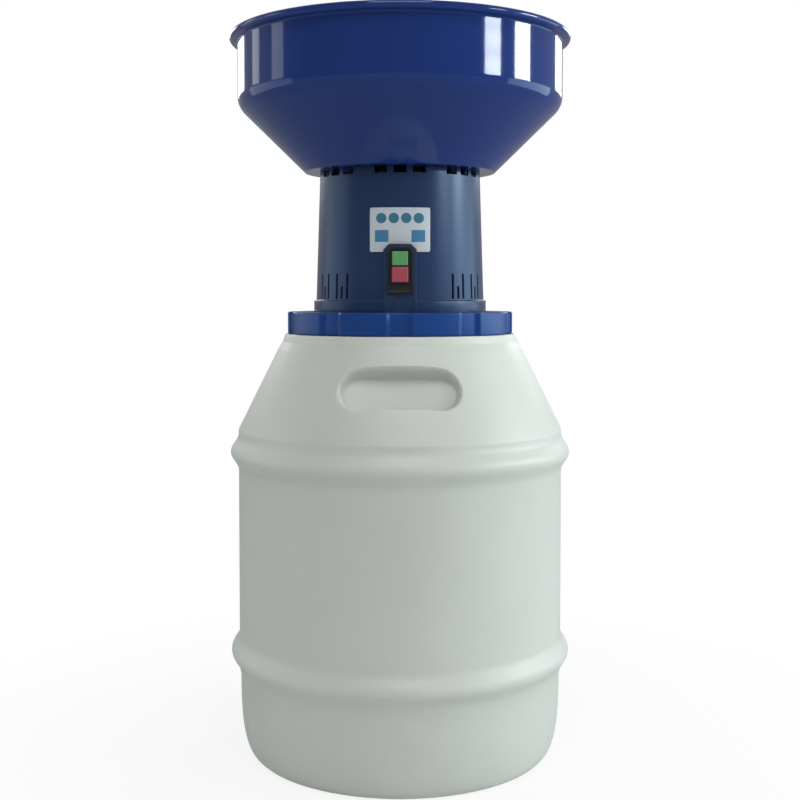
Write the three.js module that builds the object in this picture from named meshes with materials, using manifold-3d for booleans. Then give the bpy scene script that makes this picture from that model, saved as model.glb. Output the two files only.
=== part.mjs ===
import * as THREE from 'three';
import { mergeVertices } from 'three/addons/utils/BufferGeometryUtils.js';
import Module from 'manifold-3d';

// An electric grain mill that stands on its own flour barrel, in millimetres.
// +Z is up, the front with the switch faces -Y, and the origin is the middle of the barrel's foot.

const wasm = await Module();
wasm.setup();

// Driving dimensions

// Clearances and overruns
const fitGap = 0.3; // between two pieces that touch
const holeGap = 0.4; // round a screw in its hole
const overrun = 6; // how far a cutter runs past what it cuts
const lap = 2; // how far two joined forms run into each other
const miterShare = 0.5; // the least that a sharp corner keeps of its miter

// Steps round a full turn
const bodySteps = 36;
const pieceSteps = 16;
const smallSteps = 8;
const hexSteps = 6;

// Barrel
const barrelRadius = 192.6;
const barrelWall = 3.5;
const footInset = 24.6; // from the side in to the edge of the flat foot
const cornerInset = 1.6; // from the side in to the top of the foot's corner
const barrelCornerHeight = 95;
const cornerRoundnessShare = 0.74;
const cornerSteps = 6;
const hoopSteps = 3; // on each side of a hoop's crest
const insideSteps = 3; // round the inside of the foot's corner
const hoopRise = 9.4;
const hoopHalfHeight = 21;
const lowerHoopRise = 28; // above the foot's corner
const upperHoopDrop = 26; // below the shoulder
const shoulderHeight = 385;
const shoulderRise = 95;
const shoulderLap = 8.5; // from the ledge's edge out to the shoulder's top
const ledgeRise = 18; // above the shoulder's top
const ledgeWidth = 12; // from the neck out to the ledge's edge
const ledgeCornerHeight = 9;
const ledgeCornerWidth = 3;
const neckRadius = 125;
const neckWall = 7;
const neckHeight = 13;

// Hand grips, front and back in the shoulder
const gripWidth = 132;
const gripHeight = 47;
const gripDepth = 24;
const gripDrop = 35; // from the shoulder's top down to the grip's middle

// Rim gasket and base plate
const gasketThickness = 2;
const gasketWidth = 6;
const plateInset = 2; // from the neck's side in to the plate's edge
const plateThickness = 5;
const plateShaftGap = 1; // round the sleeve that passes through

// Ring nut
const ringThreadGap = 1.4; // round the neck
const ringWall = 7.6;
const ringRecessDepth = 4.5;
const ringLipGap = 3.4; // round the housing's collar
const ringLipThickness = 5.3;
const ringBevel = 1.5;
const ringLobes = 10;
const ringLobeShare = 0.62;
const ringRampShare = 0.08;
const lobeArcSteps = 4;

// Motor housing
const collarInset = 22.4; // from the neck's side in to the collar's
const collarHeight = 18.6;
const collarBevel = 1;
const collarProud = 2.8; // out from the housing's foot
const housingTaper = 4.8; // from the housing's foot to its top
const housingHeight = 170;
const housingWall = 3;

// Air openings of the housing
const ventGroups = 7;
const ventsPerGroup = 3;
const ventPitch = 12.9 * Math.PI / 180;
const ventWidth = 15.5;
const ventHeight = 7.6;
const slotWidth = 3;
const slotTallHeight = 28.5;
const slotShortHeight = 14.2;
const slotRise = 2;
const slotPitch = 4.87 * Math.PI / 180;

// Switch pad on the housing's front
const padSideMargin = 3.8; // beside the bezel
const padTopMargin = 2.7; // above the bezel
const padProud = 0.8; // out from the collar
const padChamfer = 6.6;

// Switch
const bezelWidth = 28.8;
const bezelHeight = 51.8;
const bezelThickness = 4.5;
const bezelChamfer = 4;
const bezelRise = 27.1;
const bezelSideLap = 3.4; // of the bezel past the switch's body
const bezelEndLap = 2.9;
const switchBodyDepth = 31;
const startSideMargin = 2.2; // from the switch body's side in to the start button
const startHeight = 15.6;
const stopSideMargin = 1.9; // from the switch body's side in to the stop button
const stopFootMargin = 12; // from the bezel's foot up to the stop button
const buttonTopMargin = 5.4;
const buttonBar = 1.6;
const buttonProud = 2.2;
const buttonDepth = 10;
const buttonTravel = 3;
const buttonEndGap = 0.7;
const buttonChamfer = 1.2;

// Label plate
const labelWidth = 67.6;
const labelHeight = 49.6;
const labelThickness = 0.8;
const labelCornerRadius = 2;
const labelCornerSteps = 3;
const labelRise = 73.4;
const labelNotchGap = 0.6;

// Hopper
const hopperFloorLap = 18; // past the housing's top
const hopperWall = 3;
const hopperRadius = 192;
const hopperHeight = 159.3;
const hopperConeHeight = 77;
const hopperBendRadius = 40;
const hopperBendSteps = 5;
const rimFlare = 9.3;
const rimBeadRadius = 4.5;
const rimFlareHeight = 19.5;
const rimBeadSteps = 6;

// Feed opening and duct, at the left of the motor
const feedRadius = 14.5;
const ductWall = 2.5;
const ductGap = 2.5; // between the duct and the housing's wall

// Shutter over the feed opening
const shutterThickness = 2;
const shutterCover = 4.5; // how far the plate laps past the opening
const shutterPivotDistance = 36;
const shutterPivotRadius = 9;
const shutterPivotScrewRadius = 3;
const shutterPivotHeadRadius = 7;
const shutterPivotHeadHeight = 3;
const shutterPivotDepth = 2.6;
const shutterLeverLength = 22.5;
const shutterLeverRadius = 8;
const knobStemRadius = 4;
const knobHeadRadius = 11;
const knobHeight = 34;
const knobHeadHeight = 14;
const knobSkirt = 2;

// Hopper screws and housing bosses
const screwCount = 4;
const bossWall = 2.6;
const screwRadius = 2;
const screwHeadLap = 2;
const screwHeadHeight = 3;
const hopperScrewLength = 16;
const hopperBossInset = 6.5;
const hopperBossFloor = 3; // below the end of the screw
const baseScrewLength = 18;
const baseBossInset = 6.6;
const baseBossFloor = 2; // above the end of the screw

// Cable gland at the back
const glandRise = 37;
const glandBoreRadius = 4.5;
const glandThreadRadius = 8;
const glandThreadLength = 15;
const glandHexWall = 4; // from the thread out to the hexagon's corners
const glandHexLength = 6;
const glandDomeRadius = 9.5;
const glandDomeLength = 12;
const glandNutThickness = 5;

// Terminal block beside the motor
const terminalGap = 11.6; // to the collar's wall
const terminalLength = 28;
const terminalWidth = 24;
const terminalHeight = 19;
const terminalHoleRadius = 2.6;
const terminalHoleSpacing = 11;

// Motor stator
const motorGap = 9.5; // between the stator and the duct
const statorYoke = 8;
const statorRise = 37.4;
const poleWidthShare = 0.565;
const airGap = 0.8;
const coilThickness = 8;
const coilYokeGap = 0.9;
const coilDepthShare = 0.78;

// Motor brackets
const bracketLap = 2; // past the stator
const bracketThickness = 5;
const bracketLegWall = 2.1;
const bracketHubWall = 5;
const hubSkirt = 1.7; // how far the bracket's hub runs past the bearing
const commutatorBearingGap = 1;

// Bearings
const bearingRing = 7; // from the shaft out to the bearing's edge
const bearingWidth = 8;
const bearingSeat = 2;

// Motor bolts
const motorBolts = 4;
const boltRadius = 2;
const boltHeadLap = 1.6;
const boltHeadHeight = 3.5;

// Brush gear
const brushWidth = 6;
const brushHeightShare = 0.5; // of the commutator's length
const brushLength = 13.5;
const brushHolderWall = 2;
const brushHolderLength = 21.5;
const brushHolderGap = 2.5;
const brushLugLength = 9;

// Rotor
const shaftRadius = 6;
const shaftTopRise = 22;
const shaftTipLength = 4;
const motorHeadroom = 19.9; // from the shaft's top up to the housing's top
const armatureShare = 0.5435;
const armatureSlots = 8;
const armatureSlotWidth = 4;
const armatureSlotShare = 0.32;
const armatureNeck = 1.4;
const windingGap = 0.4;
const windingHeadHeight = 10;
const windingShaftGap = 2;
const commutatorLength = 16;
const commutatorRise = 3.4;
const fanInset = 6; // from the stator's edge in to the fan's
const fanHubWall = 5;
const fanDiscThickness = 2;
const fanBladeHeight = 12;
const fanBladeThickness = 2;
const fanBlades = 8;
const fanClearance = 0.8;

// Hammer blade below the base plate
const bladeTipGap = 12; // between the blade's end and the sieve
const bladeWidth = 28;
const bladeThickness = 4;
const bladeRise = 22; // of the blade's top above the sieve's foot
const bladeBevel = 10;
const bladeSleeveWall = 3;
const bladeNutWall = 3;
const bladeNutHeight = 8;
const shaftNutReach = 5;

// Sieve round the blade
const sieveFeedGap = 1; // round the feed opening
const sieveSheet = 1.5;
const sieveHeight = 53;
const sieveHoleRadius = 5;
const sieveHoleRows = 2;
const sieveHolesPerRow = 16;
const sieveRowShare = 0.33;
const sieveDiscLap = 14.5;
const sieveDiscThickness = 3;
const studCount = 3;
const studGap = 8.5; // from the sieve's side to a stud's middle
const studRadius = 3;
const studSeat = 2.4;
const studTail = 12;
const wingNutRadius = 6;
const wingNutHeight = 7;
const wingSpan = 26;
const wingThickness = 2.4;
const wingHeight = 5;

// Radii that follow, from the neck inwards and outwards
const barrelFootRadius = barrelRadius - footInset;
const barrelLowRadius = barrelRadius - cornerInset;
const ledgeRadius = neckRadius + ledgeWidth;
const shoulderTopRadius = ledgeRadius + shoulderLap;
const plateRadius = neckRadius - plateInset;
const ringBoreRadius = neckRadius + ringThreadGap;
const ringRadius = ringBoreRadius + ringWall;
const collarRadius = neckRadius - collarInset;
const ringLipRadius = collarRadius + ringLipGap;
const housingFootRadius = collarRadius - collarProud;
const housingTopRadius = housingFootRadius - housingTaper;
const padFaceDistance = collarRadius + padProud;
const hopperFloorRadius = housingTopRadius + hopperFloorLap;
const rimRadius = hopperRadius + rimFlare;
const feedDistance = housingTopRadius - housingWall - ductGap - ductWall - feedRadius;
const terminalDistance = collarRadius - housingWall - terminalGap - terminalLength;
const sieveRadius = feedDistance + feedRadius + sieveFeedGap + sieveSheet;
const sieveDiscRadius = sieveRadius + sieveDiscLap;
const studDistance = sieveRadius + studGap;
const bladeLength = 2 * (sieveRadius - sieveSheet - bladeTipGap);

// Radii of the motor, which fills the space beside the duct
const statorRadius = feedDistance - feedRadius - ductWall - motorGap;
const bracketRadius = statorRadius + bracketLap;
const boltCircle = statorRadius - statorYoke / 2;
const bracketLegRadius = boltRadius + holeGap + bracketLegWall;
const boltHeadRadius = boltRadius + boltHeadLap;
const armatureRadius = statorRadius * armatureShare;
const armatureSlotDepth = armatureRadius * armatureSlotShare;
const poleBoreRadius = armatureRadius + airGap;
const poleWidth = statorRadius * poleWidthShare;
const coilDepth = (statorRadius - statorYoke - poleBoreRadius) * coilDepthShare;
const fanRadius = statorRadius - fanInset;

// Sizes that follow the shaft, the bearings and the screws
const bearingRadius = shaftRadius + bearingRing;
const bracketHubRadius = bearingRadius + bracketHubWall;
const bracketHubHeight = bearingSeat + fitGap + bearingWidth + hubSkirt;
const hopperBossHeight = hopperScrewLength + hopperBossFloor;
const baseBossHeight = baseScrewLength - plateThickness + baseBossFloor;
const glandHexRadius = glandThreadRadius + glandHexWall;
const brushHeight = brushHeightShare * commutatorLength;
const commutatorRadius = bearingRadius;
const windingInnerRadius = shaftRadius + windingShaftGap;
const fanHubRadius = shaftRadius + fanHubWall;
const bladeSleeveRadius = shaftRadius + bladeSleeveWall;
const plateShaftHoleRadius = bladeSleeveRadius + plateShaftGap;
const bladeNutRadius = shaftRadius + bladeNutWall;
const bossRadius = screwRadius + holeGap + bossWall;
const screwHeadRadius = screwRadius + screwHeadLap;

// Widths and heights of the switch and its pad
const padWidth = bezelWidth + 2 * padSideMargin;
const padHeight = bezelRise + bezelHeight + padTopMargin;
const switchBodyWidth = bezelWidth - 2 * bezelSideLap;
const startWidth = switchBodyWidth - 2 * startSideMargin;
const stopWidth = switchBodyWidth - 2 * stopSideMargin;
const stopHeight = bezelHeight - buttonTopMargin - startHeight - buttonBar - stopFootMargin;
const switchBodyHeight = bezelHeight - 2 * bezelEndLap;

// Heights that follow from the pieces below
const hoopHeights = [barrelCornerHeight + lowerHoopRise, shoulderHeight - upperHoopDrop];
const shoulderTopHeight = shoulderHeight + shoulderRise;
const gripCentreHeight = shoulderTopHeight - gripDrop;
const ledgeHeight = shoulderTopHeight + ledgeRise;
const neckTop = ledgeHeight + neckHeight;
const gasketBottom = neckTop + fitGap;
const plateBottom = gasketBottom + gasketThickness + fitGap;
const plateTop = plateBottom + plateThickness;
const ringBottom = ledgeHeight + fitGap;
const ringTop = plateTop + fitGap + ringLipThickness;
const housingBottom = plateTop + fitGap;
const collarTop = housingBottom + collarHeight;
const housingTop = housingBottom + housingHeight;
const hopperBottom = housingTop + fitGap;
const hopperFloorTop = hopperBottom + hopperWall;
const bezelBottom = housingBottom + bezelRise;
const bezelTop = bezelBottom + bezelHeight;
const statorBottom = housingBottom + statorRise;
const shaftTop = housingTop - motorHeadroom;
const upperBracketTop = shaftTop - shaftTopRise;
const upperBracketBottom = upperBracketTop - bracketThickness;
const lowerBracketTop = housingBottom + bracketThickness;
const lowerBearingBottom = lowerBracketTop + bearingSeat;
const upperBearingBottom = upperBracketTop - bearingSeat - fitGap - bearingWidth;
const commutatorBottom = upperBearingBottom - commutatorBearingGap - commutatorLength;
const statorTop = commutatorBottom - commutatorRise - windingHeadHeight;
const fanBottom = upperBracketTop + fitGap + boltHeadHeight + fanClearance;
const sieveTop = plateBottom - fitGap;
const sieveBottom = sieveTop - sieveHeight;
const bladeTop = sieveBottom + bladeRise;
const bladeBottom = bladeTop - bladeThickness;
const bladeNutBottom = bladeBottom - fitGap - bladeNutHeight;
const sieveDiscTop = sieveBottom - fitGap;
const sieveDiscBottom = sieveDiscTop - sieveDiscThickness;
const wingNutTop = sieveDiscBottom - fitGap;

// Materials
function finish(color, roughness, metalness = 0) {
  return new THREE.MeshStandardMaterial({ color, roughness, metalness });
}
const palePlastic = finish(0xcdd2cc, 0.45);
const hopperPlastic = finish(0x24386e, 0.18);
const housingPlastic = finish(0x2c4066, 0.32);
const ringPlastic = finish(0x2f5a9c, 0.35);
const platePlastic = finish(0x2a3550, 0.45);
const blackPlastic = finish(0x15181b, 0.4);
const greenPlastic = finish(0x3f9a55, 0.35);
const redPlastic = finish(0xc03a48, 0.35);
const labelFilm = finish(0xd4dde2, 0.4);
const softRubber = finish(0x22252a, 0.8);
const zincSteel = finish(0xa9adb2, 0.35, 0.9);
const brightSteel = finish(0xc6c9cc, 0.28, 1);
const laminatedSteel = finish(0x6d7278, 0.55, 0.8);
const castAluminium = finish(0x9aa0a6, 0.5, 0.9);
const copper = finish(0xb5693a, 0.4, 0.9);
const carbon = finish(0x2b2b2d, 0.7);
const creamPlastic = finish(0xd9d2bd, 0.5);

// Helpers

// A closed mesh with shared vertices, no empty triangles and its faces pointing out.
function closed(geometry) {
  const bare = geometry.index ? geometry : mergeVertices(geometry);
  bare.deleteAttribute('normal');
  bare.deleteAttribute('uv');
  const merged = mergeVertices(bare, fitGap / 1000);
  const place = merged.attributes.position;
  const corners = [];
  let volume = 0;
  const a = new THREE.Vector3();
  const b = new THREE.Vector3();
  const c = new THREE.Vector3();
  for (let i = 0; i < merged.index.count; i += 3) {
    const [p, q, r] = [merged.index.getX(i), merged.index.getX(i + 1), merged.index.getX(i + 2)];
    if (p === q || q === r || r === p) continue;
    corners.push(p, q, r);
    a.fromBufferAttribute(place, p);
    b.fromBufferAttribute(place, q);
    c.fromBufferAttribute(place, r);
    volume += a.dot(b.cross(c));
  }
  if (volume < 0) corners.reverse();
  merged.setIndex(corners);
  return merged;
}

function solid(geometry) {
  const mesh = closed(geometry);
  return new wasm.Manifold(new wasm.Mesh({
    numProp: 3,
    vertProperties: new Float32Array(mesh.attributes.position.array),
    triVerts: new Uint32Array(mesh.index.array),
  }));
}

function geometryOf(manifold) {
  const mesh = manifold.getMesh();
  const geometry = new THREE.BufferGeometry();
  geometry.setAttribute('position', new THREE.BufferAttribute(new Float32Array(mesh.vertProperties), 3));
  geometry.setIndex(Array.from(mesh.triVerts));
  return geometry;
}

// The first piece with the other pieces joined on.
function joined(first, ...others) {
  return others.reduce((whole, other) => whole.add(other), first);
}

// The first piece with the other pieces cut out.
function cut(first, ...others) {
  return others.reduce((whole, other) => whole.subtract(other), first);
}

const point = (radius, height) => new THREE.Vector2(radius, height);

// A profile of (radius, height) points turned about the Z axis.
function turned(profile, steps = bodySteps) {
  return solid(new THREE.LatheGeometry(profile, steps).rotateX(Math.PI / 2));
}

// A full round bar along Z.
function bar(radius, bottom, top, steps = pieceSteps) {
  return turned([point(0, bottom), point(radius, bottom), point(radius, top), point(0, top)], steps);
}

// A ring or tube along Z.
function tube(outer, inner, bottom, top, steps = bodySteps) {
  const corners = [point(inner, bottom), point(outer, bottom), point(outer, top), point(inner, top)];
  return turned([...corners, corners[0].clone()], steps);
}

// A block between two opposite corners.
function block(x, y, z) {
  const geometry = new THREE.BoxGeometry(x[1] - x[0], y[1] - y[0], z[1] - z[0]);
  geometry.translate((x[0] + x[1]) / 2, (y[0] + y[1]) / 2, (z[0] + z[1]) / 2);
  return solid(geometry);
}

// An outline drawn in X and Z as seen from the front, running from one Y to a lower one.
function frontPrism(shape, backY, frontY) {
  const geometry = new THREE.ExtrudeGeometry(shape, { depth: backY - frontY, bevelEnabled: false });
  return solid(geometry.rotateX(Math.PI / 2).translate(0, backY, 0));
}

// An outline drawn in X and Y, running up from one height to another.
function uprightPrism(shape, bottom, top, curveSegments = smallSteps) {
  const depth = top - bottom;
  const geometry = new THREE.ExtrudeGeometry(shape, { depth, bevelEnabled: false, curveSegments });
  return solid(geometry.translate(0, 0, bottom));
}

function polygon(points) {
  return new THREE.Shape(points.map(([x, y]) => point(x, y)));
}

const moved = (piece, x, y, z = 0) => piece.translate([x, y, z]);
const spun = (piece, angle) => piece.rotate([0, 0, THREE.MathUtils.radToDeg(angle)]);

// Places on a circle, the first at the given angle from +X.
function roundPlaces(count, distance, startAngle) {
  return Array.from({ length: count }, (_, i) => {
    const angle = startAngle + i * 2 * Math.PI / count;
    return [distance * Math.cos(angle), distance * Math.sin(angle)];
  });
}

// A line of points moved sideways to its left, which is the inside of a profile that runs outwards and up.
function inset(points, distance) {
  const last = points.length - 1;
  return points.map((here, i) => {
    const into = points[Math.max(i, 1)].clone().sub(points[Math.max(i, 1) - 1]).normalize();
    const out = points[Math.min(i, last - 1) + 1].clone().sub(points[Math.min(i, last - 1)]).normalize();
    const along = into.clone().add(out).normalize();
    const reach = distance / Math.max(along.dot(into), miterShare);
    return here.clone().add(point(-along.y, along.x).multiplyScalar(reach));
  });
}

// The arc that rounds a corner between two straight runs of a profile.
function roundedCorner(before, corner, after, radius, steps) {
  const back = before.clone().sub(corner).normalize();
  const ahead = after.clone().sub(corner).normalize();
  const halfAngle = Math.acos(back.dot(ahead)) / 2;
  const toCentre = back.clone().add(ahead).normalize().multiplyScalar(radius / Math.sin(halfAngle));
  const centre = corner.clone().add(toCentre);
  const start = corner.clone().add(back.multiplyScalar(radius / Math.tan(halfAngle))).sub(centre);
  const end = corner.clone().add(ahead.multiplyScalar(radius / Math.tan(halfAngle))).sub(centre);
  const sweep = Math.atan2(start.x * end.y - start.y * end.x, start.dot(end));
  return Array.from({ length: steps + 1 }, (_, i) => {
    return centre.clone().add(start.clone().rotateAround(point(0, 0), sweep * i / steps));
  });
}

// Where a place on the housing's outer wall lies, at a given height.
function housingRadiusAt(height) {
  const wallBottom = collarTop + collarBevel;
  const share = (height - wallBottom) / (housingTop - wallBottom);
  return housingFootRadius + (housingTopRadius - housingFootRadius) * share;
}

// Barrel

// The outside of the barrel from the middle of its foot to the top of its shoulder.
function barrelOutline(cornerCount, hoopCount) {
  const points = [point(0, 0)];
  for (let i = 0; i <= cornerCount; i++) {
    const turn = i / cornerCount * Math.PI / 2;
    const outward = Math.sin(turn) ** cornerRoundnessShare;
    const upward = 1 - Math.cos(turn) ** cornerRoundnessShare;
    const radius = barrelFootRadius + (barrelLowRadius - barrelFootRadius) * outward;
    points.push(point(radius, barrelCornerHeight * upward));
  }
  for (const hoopHeight of hoopHeights) {
    for (let i = -hoopCount; i <= hoopCount; i++) {
      const share = i / hoopCount;
      const swell = Math.cos(share * Math.PI / 2) ** 2;
      points.push(point(barrelRadius + hoopRise * swell, hoopHeight + hoopHalfHeight * share));
    }
  }
  points.push(point(barrelRadius, shoulderHeight));
  points.push(point(shoulderTopRadius, shoulderTopHeight));
  points.push(point(ledgeRadius + ledgeCornerWidth, ledgeHeight - ledgeCornerHeight));
  points.push(point(ledgeRadius, ledgeHeight));
  return points;
}

// A hand grip's hollow, square to the shoulder and grown on every side by the given wall.
function gripHollow(wall, facing) {
  const slope = Math.atan2(barrelRadius - shoulderTopRadius, shoulderTopHeight - shoulderHeight);
  const halfHeight = gripHeight / 2 + wall;
  const straight = gripWidth / 2 - gripHeight / 2;
  const shape = new THREE.Shape();
  shape.absarc(straight, 0, halfHeight, -Math.PI / 2, Math.PI / 2);
  shape.absarc(-straight, 0, halfHeight, Math.PI / 2, 3 * Math.PI / 2);
  const depth = gripDepth + wall + overrun;
  const curveSegments = smallSteps / 2;
  const geometry = new THREE.ExtrudeGeometry(shape, { depth, bevelEnabled: false, curveSegments });
  const surfaceRadius = barrelRadius - (gripCentreHeight - shoulderHeight) * Math.tan(slope);
  geometry.translate(0, 0, -gripDepth - wall);
  geometry.rotateX(Math.PI / 2 - slope);
  geometry.translate(0, -surfaceRadius, gripCentreHeight);
  geometry.rotateZ(facing);
  return solid(geometry);
}

function barrel() {
  const outline = barrelOutline(cornerSteps, hoopSteps);
  const outside = turned([
    ...outline, point(neckRadius, ledgeHeight), point(neckRadius, neckTop), point(0, neckTop),
  ]);
  const inner = inset(barrelOutline(insideSteps, 1), barrelWall).slice(0, -1);
  const neckBore = neckRadius - neckWall;
  const inside = turned([
    ...inner, point(neckBore, ledgeHeight - barrelWall),
    point(neckBore, neckTop + overrun), point(0, neckTop + overrun),
  ]);
  const facings = [0, Math.PI];
  const grips = facings.map((facing) => gripHollow(0, facing));
  const gripShells = facings.map((facing) => gripHollow(barrelWall, facing));
  return cut(outside, ...grips, cut(inside, ...gripShells));
}

// Rim gasket and base plate

function rimGasket() {
  const outer = neckRadius - (neckWall - gasketWidth) / 2;
  return tube(outer, outer - gasketWidth, gasketBottom, gasketBottom + gasketThickness);
}

const boltPlaces = roundPlaces(motorBolts, boltCircle, Math.PI / 4);
const baseScrewPlaces = roundPlaces(screwCount, collarRadius - baseBossInset, Math.PI / 4);
const hopperScrewPlaces = roundPlaces(screwCount, housingTopRadius - hopperBossInset, Math.PI / 4);
const studPlaces = roundPlaces(studCount, studDistance, Math.PI / 2);

function basePlate() {
  const plate = bar(plateRadius, plateBottom, plateTop, bodySteps);
  const through = (radius, [x, y], steps, top = plateTop + overrun) => {
    return moved(bar(radius, plateBottom - overrun, top, steps), x, y);
  };
  const studHoleTop = plateBottom + studSeat + fitGap;
  return cut(
    plate,
    through(plateShaftHoleRadius, [0, 0], pieceSteps),
    through(feedRadius, [-feedDistance, 0], pieceSteps),
    ...boltPlaces.map((place) => through(boltRadius + holeGap, place, smallSteps)),
    ...baseScrewPlaces.map((place) => through(screwRadius + holeGap, place, smallSteps)),
    ...studPlaces.map((place) => through(studRadius + holeGap, place, smallSteps, studHoleTop)),
  );
}

// Ring nut

// Wide grip lobes with a narrow recess between each two.
function ringOutline() {
  const pitch = 2 * Math.PI / ringLobes;
  const points = [];
  for (let lobe = 0; lobe < ringLobes; lobe++) {
    const middle = -Math.PI / 2 + pitch * (lobe + 0.5);
    const halfLobe = pitch * ringLobeShare / 2;
    for (let i = 0; i <= lobeArcSteps; i++) {
      const angle = middle - halfLobe + 2 * halfLobe * i / lobeArcSteps;
      const radius = ringRadius - ringBevel;
      points.push([radius * Math.cos(angle), radius * Math.sin(angle)]);
    }
    for (const side of [1, -1]) {
      const angle = middle + pitch / 2 - side * (pitch * (1 - ringLobeShare) / 2 - pitch * ringRampShare);
      const radius = ringRadius - ringBevel - ringRecessDepth;
      points.push([radius * Math.cos(angle), radius * Math.sin(angle)]);
    }
  }
  return polygon(points);
}

function ringNut() {
  const geometry = new THREE.ExtrudeGeometry(ringOutline(), {
    depth: ringTop - ringBottom - 2 * ringBevel,
    bevelSize: ringBevel,
    bevelThickness: ringBevel,
    bevelSegments: 1,
  });
  geometry.translate(0, 0, ringBottom + ringBevel);
  return cut(
    solid(geometry),
    bar(ringBoreRadius, ringBottom - overrun, ringTop - ringLipThickness, bodySteps),
    bar(ringLipRadius, ringBottom - overrun, ringTop + overrun, bodySteps),
  );
}

// Motor housing

function padOutline(margin) {
  const half = padWidth / 2 + margin;
  const top = housingBottom + padHeight + margin;
  return polygon([
    [-half, housingBottom], [half, housingBottom], [half, top - padChamfer],
    [half - padChamfer, top], [-half + padChamfer, top], [-half, top - padChamfer],
  ]);
}

// One upright cutter through the housing wall, at an angle from the front.
function wallCutter(width, bottom, top, angle) {
  const reach = [-collarRadius - overrun, -housingTopRadius + housingWall + overrun];
  return spun(block([-width / 2, width / 2], reach, [bottom, top]), angle);
}

function ventCutters() {
  const cutters = [];
  for (let group = 0; group < ventGroups; group++) {
    for (let i = 0; i < ventsPerGroup; i++) {
      const angle = group * 2 * Math.PI / ventGroups + (i - (ventsPerGroup - 1) / 2) * ventPitch;
      cutters.push(wallCutter(ventWidth, housingTop - ventHeight, housingTop + overrun, angle));
    }
  }
  return cutters;
}

// Groups of tall and short slots, in every place but the front, where the switch is.
function slotCutters() {
  const cutters = [];
  const bottom = collarTop + slotRise;
  for (let group = 1; group < ventGroups; group++) {
    for (const step of [-3, -2, -1, 1, 2, 3]) {
      const height = step % 2 ? slotTallHeight : slotShortHeight;
      const angle = group * 2 * Math.PI / ventGroups + step * slotPitch;
      cutters.push(wallCutter(slotWidth, bottom, bottom + height, angle));
    }
  }
  return cutters;
}

function housingShell() {
  const outline = [
    point(collarRadius, housingBottom), point(collarRadius, collarTop),
    point(housingFootRadius, collarTop + collarBevel), point(housingTopRadius, housingTop),
  ];
  const inner = inset(outline, housingWall).map((p, i) => point(p.x, outline[i].y));
  const shell = turned([...outline, ...[...inner].reverse(), outline[0].clone()]);
  const bore = turned([
    point(0, housingBottom - overrun), point(collarRadius - housingWall, housingBottom - overrun),
    ...inner, point(0, housingTop),
  ]);
  const pad = cut(frontPrism(padOutline(0), 0, -padFaceDistance), bore);
  const hopperBosses = hopperScrewPlaces.map(([x, y]) => {
    return moved(bar(bossRadius, housingTop - hopperBossHeight, housingTop, smallSteps), x, y);
  });
  const baseBosses = baseScrewPlaces.map(([x, y]) => {
    return moved(bar(bossRadius, housingBottom, housingBottom + baseBossHeight, smallSteps), x, y);
  });
  const holeRadius = screwRadius + holeGap;
  const hopperScrewHoles = hopperScrewPlaces.map(([x, y]) => {
    const bottom = housingTop - hopperScrewLength - fitGap;
    return moved(bar(holeRadius, bottom, housingTop + overrun, smallSteps), x, y);
  });
  const baseScrewHoles = baseScrewPlaces.map(([x, y]) => {
    const top = plateBottom + baseScrewLength + fitGap;
    return moved(bar(holeRadius, housingBottom - overrun, top, smallSteps), x, y);
  });
  const switchHole = block(
    [-switchBodyWidth / 2 - fitGap, switchBodyWidth / 2 + fitGap],
    [-padFaceDistance - overrun, -housingTopRadius + housingWall + overrun],
    [switchCentre() - switchBodyHeight / 2 - fitGap, switchCentre() + switchBodyHeight / 2 + fitGap],
  );
  return cut(
    joined(shell, pad, ...hopperBosses, ...baseBosses),
    ...ventCutters(), ...slotCutters(), ...hopperScrewHoles, ...baseScrewHoles, switchHole,
    glandHole(),
  );
}

// Switch and its buttons

const bezelFront = padFaceDistance + fitGap + bezelThickness;
const startTop = bezelTop - buttonTopMargin;
const stopTop = startTop - startHeight - buttonBar;

function switchCentre() {
  return (bezelBottom + bezelTop) / 2;
}

function bezelOutline() {
  const half = bezelWidth / 2;
  return polygon([
    [-half, bezelBottom], [half, bezelBottom], [half, bezelTop - bezelChamfer],
    [half - bezelChamfer, bezelTop], [-half + bezelChamfer, bezelTop], [-half, bezelTop - bezelChamfer],
  ]);
}

function buttonPocket(width, height, top) {
  const depth = buttonDepth - buttonProud + buttonTravel + buttonEndGap;
  return block(
    [-width / 2 - fitGap, width / 2 + fitGap],
    [-bezelFront - overrun, -bezelFront + depth],
    [top - height - fitGap, top + fitGap],
  );
}

function switchBody() {
  const bezel = frontPrism(bezelOutline(), -padFaceDistance - fitGap, -bezelFront);
  const body = block(
    [-switchBodyWidth / 2, switchBodyWidth / 2],
    [-padFaceDistance - fitGap - bezelThickness / 2, -padFaceDistance + switchBodyDepth],
    [switchCentre() - switchBodyHeight / 2, switchCentre() + switchBodyHeight / 2],
  );
  return cut(
    joined(bezel, body),
    buttonPocket(startWidth, startHeight, startTop),
    buttonPocket(stopWidth, stopHeight, stopTop),
  );
}

// A push button with a chamfered front, its back end inside the switch.
function button(width, height, top) {
  const middle = top - height / 2;
  const outline = (inward) => polygon([
    [-width / 2 + inward, middle - height / 2 + inward], [width / 2 - inward, middle - height / 2 + inward],
    [width / 2 - inward, middle + height / 2 - inward], [-width / 2 + inward, middle + height / 2 - inward],
  ]);
  const front = -bezelFront - buttonProud;
  const geometry = new THREE.ExtrudeGeometry(outline(buttonChamfer), {
    depth: buttonDepth - 2 * buttonChamfer,
    bevelSize: buttonChamfer,
    bevelThickness: buttonChamfer,
    bevelSegments: 1,
  });
  return solid(geometry.rotateX(Math.PI / 2).translate(0, front + buttonDepth - buttonChamfer, 0));
}

// Label plate above the switch, wrapped round the housing and notched round the pad

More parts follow.
